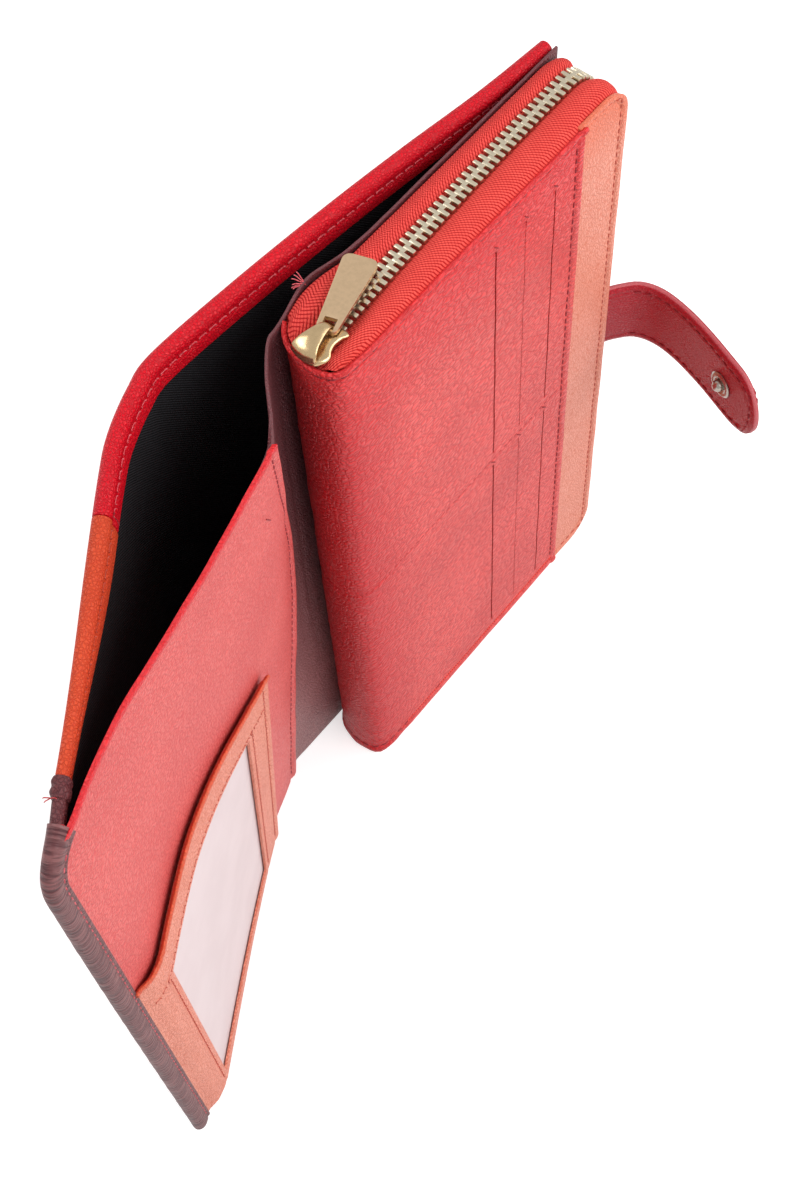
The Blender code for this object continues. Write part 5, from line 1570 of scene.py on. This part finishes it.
# %% Seams of the cover
for name, run, thread, body, slot in (
    ("back", (HEAD_START - 0.003, RED_JOINT + 0.001), PINK_THREAD, ROUND_SPINE, "back_outer_leather"),
    ("front", (RED_JOINT - 0.001, 0.0155), RUST_THREAD, "front_cover", "cover_orange_leather"),
):
    sew(f"stitches_turned_edge_{name}", turned_edge, [(d, TURN_SEAM) for d in run], thread, body, slot)
flatten(sew("stitches_panel", panel_surface, [(PANEL_SEAM, 0.004), (PANEL_SEAM, HEIGHT - 0.004)],
            DARK_THREAD, "front_cover", "pocket_panel", -1))
sew("stitches_binding", binding_surface, [(2.55, 0.003), (2.55, BINDING_RUN + CORNER)],
    PINK_THREAD, "front_cover", "free_edge_binding", 1, 0.0026, 0.00004, (0.0014, 0.0003))
bar_tack("tack_red_joint", turned_edge, [(RED_JOINT + 0.0016, 2.02), (RED_JOINT + 0.0016, 2.85)],
         DARK_THREAD, "front_cover", "cover_orange_leather")
flatten(bar_tack("tack_panel_mark", panel_surface, [(0.0098, 0.1655), (0.0108, 0.1690)],
                 DARK_THREAD, "front_cover", "pocket_panel", -1))


def tuft(name, place, ways, thread, body, slot, length=0.0032):
    """Loose thread ends: thin strands that leave one place, each its own way."""
    strand = make_stitch(length, 0.00024)
    middles = [Vector(place) + 0.45 * length * Vector(way).normalized() for way in ways]
    spots = [frame_of(middle, way, (0.3, 0.2, 1.0)) for middle, way in zip(middles, ways)]
    thing = copy_at(strand, name, spots)
    bpy.data.objects.remove(strand)
    return dress(thing, thread, body, slot=slot, angle=50)


liner_spot = liner_surface(np.array(LINER_CORNER + 0.0115), np.array(HEIGHT - 0.0004))
tuft("thread_ends_liner", liner_spot, [
    (-0.2, 1.0, 0.7), (-0.5, 0.9, 0.5), (0.1, 1.0, 0.9), (-0.9, 0.5, 0.5), (-1.0, 0.3, 0.25),
    (-1.0, 0.6, 0.1),
], PINK_THREAD, "case_and_back", "liner_back_panel")
for k, distance in enumerate((AUBERGINE_BAND - 0.0036, 0.0085)):
    knot_spot = turned_edge(np.array(distance), np.array(1.25 + 0.4 * k), swell=0.0004)
    tuft(f"thread_ends_knot_{k + 1}", knot_spot, [
        (-0.8, 0.8, 0.5), (-1.0, 0.2, 0.3), (0.3, -0.8, 0.7),
    ], RED_THREAD, "front_cover", "cover_aubergine_leather", 0.0016)

# %% Seams of the identity pocket


def frame_row(distance, height):
    """The frame's row that lies at this height above the ground."""
    above = mouth_height(distance) - FRAME_BAND
    beside = 1 + (height - WINDOW_FOOT) / (above - WINDOW_FOOT)
    return np.where(height > above, 2 + (height - above) / FRAME_BAND, beside)


def frame_line(distances, heights):
    return [(d, float(frame_row(d, h))) for d, h in zip(distances, heights)]


mouth_run = np.linspace(INNER_REACH + 0.002, FRAME_REACH - 0.003, 60)
leg = np.linspace(0.006, mouth_height(FRAME_REACH - END_SEAM) - 0.004, 40)
inner_leg = np.linspace(0.006, mouth_height(WINDOW_FAR) - FRAME_BAND + 0.001, 40)
near_leg = np.linspace(0.004, mouth_height(WINDOW_NEAR) - FRAME_BAND, 30)
for name, line in (
    ("mouth", frame_line(mouth_run, mouth_height(mouth_run) - MOUTH_SEAM)),
    ("mouth_second", frame_line(mouth_run, mouth_height(mouth_run) - FRAME_BAND + 0.0020)),
    ("leg", frame_line(np.full(40, FRAME_REACH - END_SEAM), leg)),
    ("leg_inner", frame_line(np.full(40, WINDOW_FAR + FAR_SEAM), inner_leg)),
    ("band", frame_line(np.full(30, WINDOW_NEAR - NEAR_SEAM), near_leg)),
):
    flatten(sew(f"stitches_frame_{name}", frame_surface, line, RUST_THREAD, "front_cover", "id_pocket_frame",
                -1, 0.0026, 0.00006, (0.0018, 0.00036)))

# %% [markdown]
# ## The strap
# The strap is two skins of red leather sewn together round their edge, with a round tip. It comes out from
# under the orange strip and curls forward. It bends at two places, so it is made in two lengths that meet
# in the stiff part between the bends. A thin painted bead closes its edge.

# %% Strap line and sheets
STRAP_WIDTH = 0.0220
STRAP_MIDDLE = 0.1000
STRAP_SKIN = 0.0010
STRAP_REACH = 0.0575
STRAP_ANCHOR = 0.0095
STRAP_BEND = 0.0030
STRAP_ROOT = 0.0085
STRAP_STITCH = 0.0022
STRAP_THICK = 2 * STRAP_SKIN + GAP
STRAP_Y = ORANGE_SETBACK + LEATHER + GAP + STRAP_THICK / 2
STRAP_SHARES = (
    (0.0, 0.0), (0.030, -0.006), (0.090, -0.045), (0.155, -0.110), (0.180, -0.210), (0.165, -0.340),
    (0.120, -0.500), (0.060, -0.660), (0.005, -0.800), (-0.045, -0.890),
)
EXIT = np.array([CASE_WIDTH + GAP, STRAP_Y])
ANCHOR_END = np.array([CASE_WIDTH - STRAP_ANCHOR, STRAP_Y])
strap_points = [EXIT + STRAP_REACH * np.array(share) for share in STRAP_SHARES]
STRAP_LINE = PlanLine([ANCHOR_END, (ANCHOR_END + EXIT) / 2, *strap_points])
FIRST_BEND = STRAP_ANCHOR + GAP
SECOND_BEND = FIRST_BEND + STRAP_BEND + STRAP_ROOT


def strap_outline(distance, across):
    """Distance along and height of a place across the strap, with its end drawn in to a half disc."""
    half = STRAP_WIDTH / 2
    u = np.clip((distance - (STRAP_LINE.total - half)) / half, 0, 1)
    new_u, new_v = to_disc(u, across)
    along = np.where(u > 0, STRAP_LINE.total - half + half * new_u, distance)
    return along, half * np.where(u > 0, new_v, across)


def strap_edge(distance, height):
    """Distance inward from the strap's outline."""
    half = STRAP_WIDTH / 2
    over = distance - (STRAP_LINE.total - half)
    return np.where(over > 0, half - np.hypot(np.maximum(over, 0), height), half - np.abs(height))


def strap_skin(name, side):
    """One skin of the strap. Side 1 is the outer skin, left of its line, and -1 the inner skin."""

    def surface(distance, across):
        d, height = strap_outline(distance, across)
        away = strap_edge(d, height)
        rise = seam(away - STRAP_STITCH, 0.00016) - 0.0004 * (1 - smoothstep(away / 0.0012))
        rise = rise + ripple(d, height, 0.00004)
        return raised(STRAP_LINE.at(d, side * (STRAP_THICK / 2 + rise)), STRAP_MIDDLE + height)

    along = stations(0.0, STRAP_LINE.total, 0.0015, (STRAP_LINE.total,), 0.004, 0.0004)
    half = stations(0, 1, 0.1, (0,), 0.30, 0.035)
    sheet = lay_grid(name, along, np.concatenate([-1 + half[:-1], 1 - half[::-1]]), surface)
    return wall(sheet, STRAP_SKIN, offset=-1.0 if side < 0 else 1.0, rim=0.0003)


def keep_side(thing, place, way):
    """Cuts a closed piece at a plane and keeps what lies the way that the plane looks."""
    cut = dict(plane_co=place, plane_no=way, use_fill=True, clear_inner=True)
    return edit(thing, (bpy.ops.mesh.bisect, cut))


def strap_spot(distance):
    return ORIGIN + Vector((*STRAP_LINE.at(distance), STRAP_MIDDLE))


def bend_at(first, second, distance):
    """How the strap bends between two bodies, over the bend that starts here and a little beyond it."""
    return first, second, strap_spot(distance - 0.0015), strap_spot(distance + STRAP_BEND + 0.0015)


STRAP_SPLIT = SECOND_BEND - 0.0035
ROOT_TURN = bend_at("case_leaf", "strap_root", FIRST_BEND)
TIP_TURN = bend_at("strap_root", "strap_tip", SECOND_BEND)
split_way = (strap_spot(STRAP_SPLIT + MM) - strap_spot(STRAP_SPLIT)).normalized()
for side, label in ((1, "outer"), (-1, "inner")):
    root_nodes = ("strap_anchor", "strap_root_bend") if side > 0 else ()
    root = keep_side(strap_skin(f"strap_{label}_root", side), strap_spot(STRAP_SPLIT), -split_way)
    dress(root, STRAP_RED, ROOT_TURN, *root_nodes, f"strap_root_{label}", slot=f"strap_root_{label}")
    tip = keep_side(strap_skin(f"strap_{label}_tip", side), strap_spot(STRAP_SPLIT), split_way)
    tip_nodes = ("strap_middle_bend",) if side > 0 else ()
    dress(tip, STRAP_RED, TIP_TURN, *tip_nodes, f"strap_tip_{label}", slot=f"strap_tip_{label}")

# %% Painted edge of the strap
PAINT_INSET = 0.0003
PAINT_REACH = 0.00045


def paint_surface(along, angle):
    """A thin bead on the strap's outline, between its skins."""
    half = STRAP_WIDTH / 2 - PAINT_INSET
    straight = STRAP_LINE.total - STRAP_WIDTH / 2
    run = along * (2 * straight + math.pi * half)
    turn = np.clip((run - straight) / half, 0, math.pi)
    back = np.clip(run - straight - math.pi * half, 0, None)
    reach = half + PAINT_REACH * np.cos(angle)
    distance = np.minimum(run, straight) - back + np.sin(turn) * reach
    plan = STRAP_LINE.at(distance, 0.6 * STRAP_THICK / 2 * np.sin(angle))
    return raised(plan, STRAP_MIDDLE + np.cos(turn) * reach)


EDGE_PAINT = leather("strap_edge_paint", tone(204, 104, 108), tone(160, 60, 70), grain=0.0005, depth=0.00004)
along, around = np.linspace(0, 1, 260), np.linspace(0, 2 * math.pi, 9)
for label, way, turn in (("root", -split_way, ROOT_TURN), ("tip", split_way, TIP_TURN)):
    bead = lay_grid(f"strap_edge_paint_{label}", along, around, paint_surface)
    bead = keep_side(put_at(bead, Matrix.Translation(ORIGIN)), strap_spot(STRAP_SPLIT), way)
    dress(bead, EDGE_PAINT, turn, slot=f"strap_{label}_outer")

# %% Seams of the strap


def strap_face(side):
    """The face of one of the strap's skins, for its seam."""

    def surface(distance, across):
        d, height = strap_outline(distance, across)
        return raised(STRAP_LINE.at(d, side * (STRAP_THICK / 2 - 0.00010)), STRAP_MIDDLE + height)

    return surface


STRAP_SEAM = 1 - STRAP_STITCH / (STRAP_WIDTH / 2)
tip_start = STRAP_LINE.total - STRAP_WIDTH / 2 * (1 - STRAP_SEAM)
strap_round = [(tip_start, a) for a in np.linspace(STRAP_SEAM, -STRAP_SEAM, 30)]
for side, label in ((1, "outer"), (-1, "inner")):
    line = [(d, STRAP_SEAM) for d in np.linspace(STRAP_SPLIT + 0.001, tip_start, 60)] + strap_round
    line += [(d, -STRAP_SEAM) for d in np.linspace(tip_start, STRAP_SPLIT + 0.001, 60)]
    sew(f"stitches_strap_{label}", strap_face(side), line,
        DARK_THREAD, TIP_TURN, f"strap_tip_{label}", -side)

# %% [markdown]
# The press stud has a ball on a post, with a flat ring under it, on the strap's inner face, and a domed cap
# outside. Its socket sits on the cover. All three are turned pieces: a profile taken round an axis.

# %% Press stud, cap and socket
SNAP_FROM_TIP = 0.0150
STUD_RADIUS, STUD_BALL, STUD_POST, STUD_STAND, STUD_RIM = 0.0038, 0.0017, 0.0011, 0.0024, 0.0006
CAP_RADIUS, CAP_DOME = 0.0050, 0.0012
SOCKET_RADIUS, SOCKET_HEIGHT, SOCKET_HOLE, SOCKET_FROM_EDGE = 0.0048, 0.0012, 0.0022, 0.0230


def facing(place, way):
    """A frame at a place whose Z looks this way."""
    turn = Vector(way).to_track_quat("Z", "Y").to_matrix().to_4x4()
    return Matrix.Translation(ORIGIN + Vector(place)) @ turn


def ball(radius, stand, post):
    """Profile of a ball from its top down to its post."""
    angles = np.linspace(0, 2.35, 9)
    around = [(radius * math.sin(a), stand - radius + radius * math.cos(a)) for a in angles]
    return [*around, (post, stand - 2 * radius * 0.9)]


snap_distance = STRAP_LINE.total - SNAP_FROM_TIP
stud_profile = [
    *ball(STUD_BALL, STUD_STAND, STUD_POST), (STUD_POST, STUD_RIM * 0.5),
    (STUD_RADIUS * 0.55, STUD_RIM * 0.5), (STUD_RADIUS * 0.66, STUD_RIM), (STUD_RADIUS * 0.86, STUD_RIM),
    (STUD_RADIUS, STUD_RIM * 0.4), (STUD_RADIUS, 0.0), (0.0, 0.0),
]
dome = [(CAP_RADIUS * math.sin(a), CAP_DOME * math.cos(a)) for a in np.linspace(0, math.pi / 2, 9)]
cap_profile = [*dome, (CAP_RADIUS, -0.0001), (0.0, -0.0001)]
for name, side, profile in (("stud", -1, stud_profile), ("cap", 1, cap_profile)):
    there = STRAP_LINE.at(snap_distance, side * (STRAP_THICK / 2 + 0.0001))
    way = there - STRAP_LINE.at(snap_distance)
    piece = turned(f"press_{name}", profile, facing((*there, STRAP_MIDDLE), (*way, 0)))
    dress(piece, NICKEL, "strap_tip", f"snap_{name}", angle=50)

on_cover, off_cover = (
    outer_skin(np.array(SOCKET_FROM_EDGE), np.array(STRAP_MIDDLE), np.array(inset)) for inset in (0.0, -GAP)
)
socket_profile = [
    (0.0, SOCKET_HEIGHT * 0.25), (SOCKET_HOLE, SOCKET_HEIGHT * 0.25), (SOCKET_HOLE, SOCKET_HEIGHT * 0.9),
    (SOCKET_HOLE * 1.1, SOCKET_HEIGHT), (SOCKET_RADIUS * 0.75, SOCKET_HEIGHT),
    (SOCKET_RADIUS * 0.92, SOCKET_HEIGHT * 0.8), (SOCKET_RADIUS, SOCKET_HEIGHT * 0.4), (SOCKET_RADIUS, 0.0),
    (0.0, 0.0),
]
socket = turned("press_socket", socket_profile, facing(off_cover, off_cover - on_cover))
dress(socket, NICKEL, "front_cover", "snap_socket", angle=50)

# %% [markdown]
# ## Solids that stay
# The stiff boards, the linings of the compartment and the card pockets have the right shape already. They
# keep their solids and get their finishes: twill, plain card and a plain woven pocket cloth.

# %% Finishes of the solids that stay
for name, light, deep, scale, gloss, nodes in (
    ("pocket_cloth", tone(58, 14, 20), tone(34, 6, 12), 1800.0, 0.85,
     ("card_pocket_lower", "card_pocket_upper")),
    ("lining_cloth", tone(34, 34, 37), tone(12, 12, 14), 1800.0, 0.85,
     ("compartment_lining_front", "compartment_lining_rear")),
    ("grey_card", tone(150, 144, 138), tone(122, 116, 112), 500.0, 0.8, ("back_board", "cover_board")),
):
    finish = plain(name, light, deep, scale, 0.0001, gloss, shine=0.1)
    for node in nodes:
        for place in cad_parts[node].material_slots:
            place.material = finish
print("solids that stay", 6)
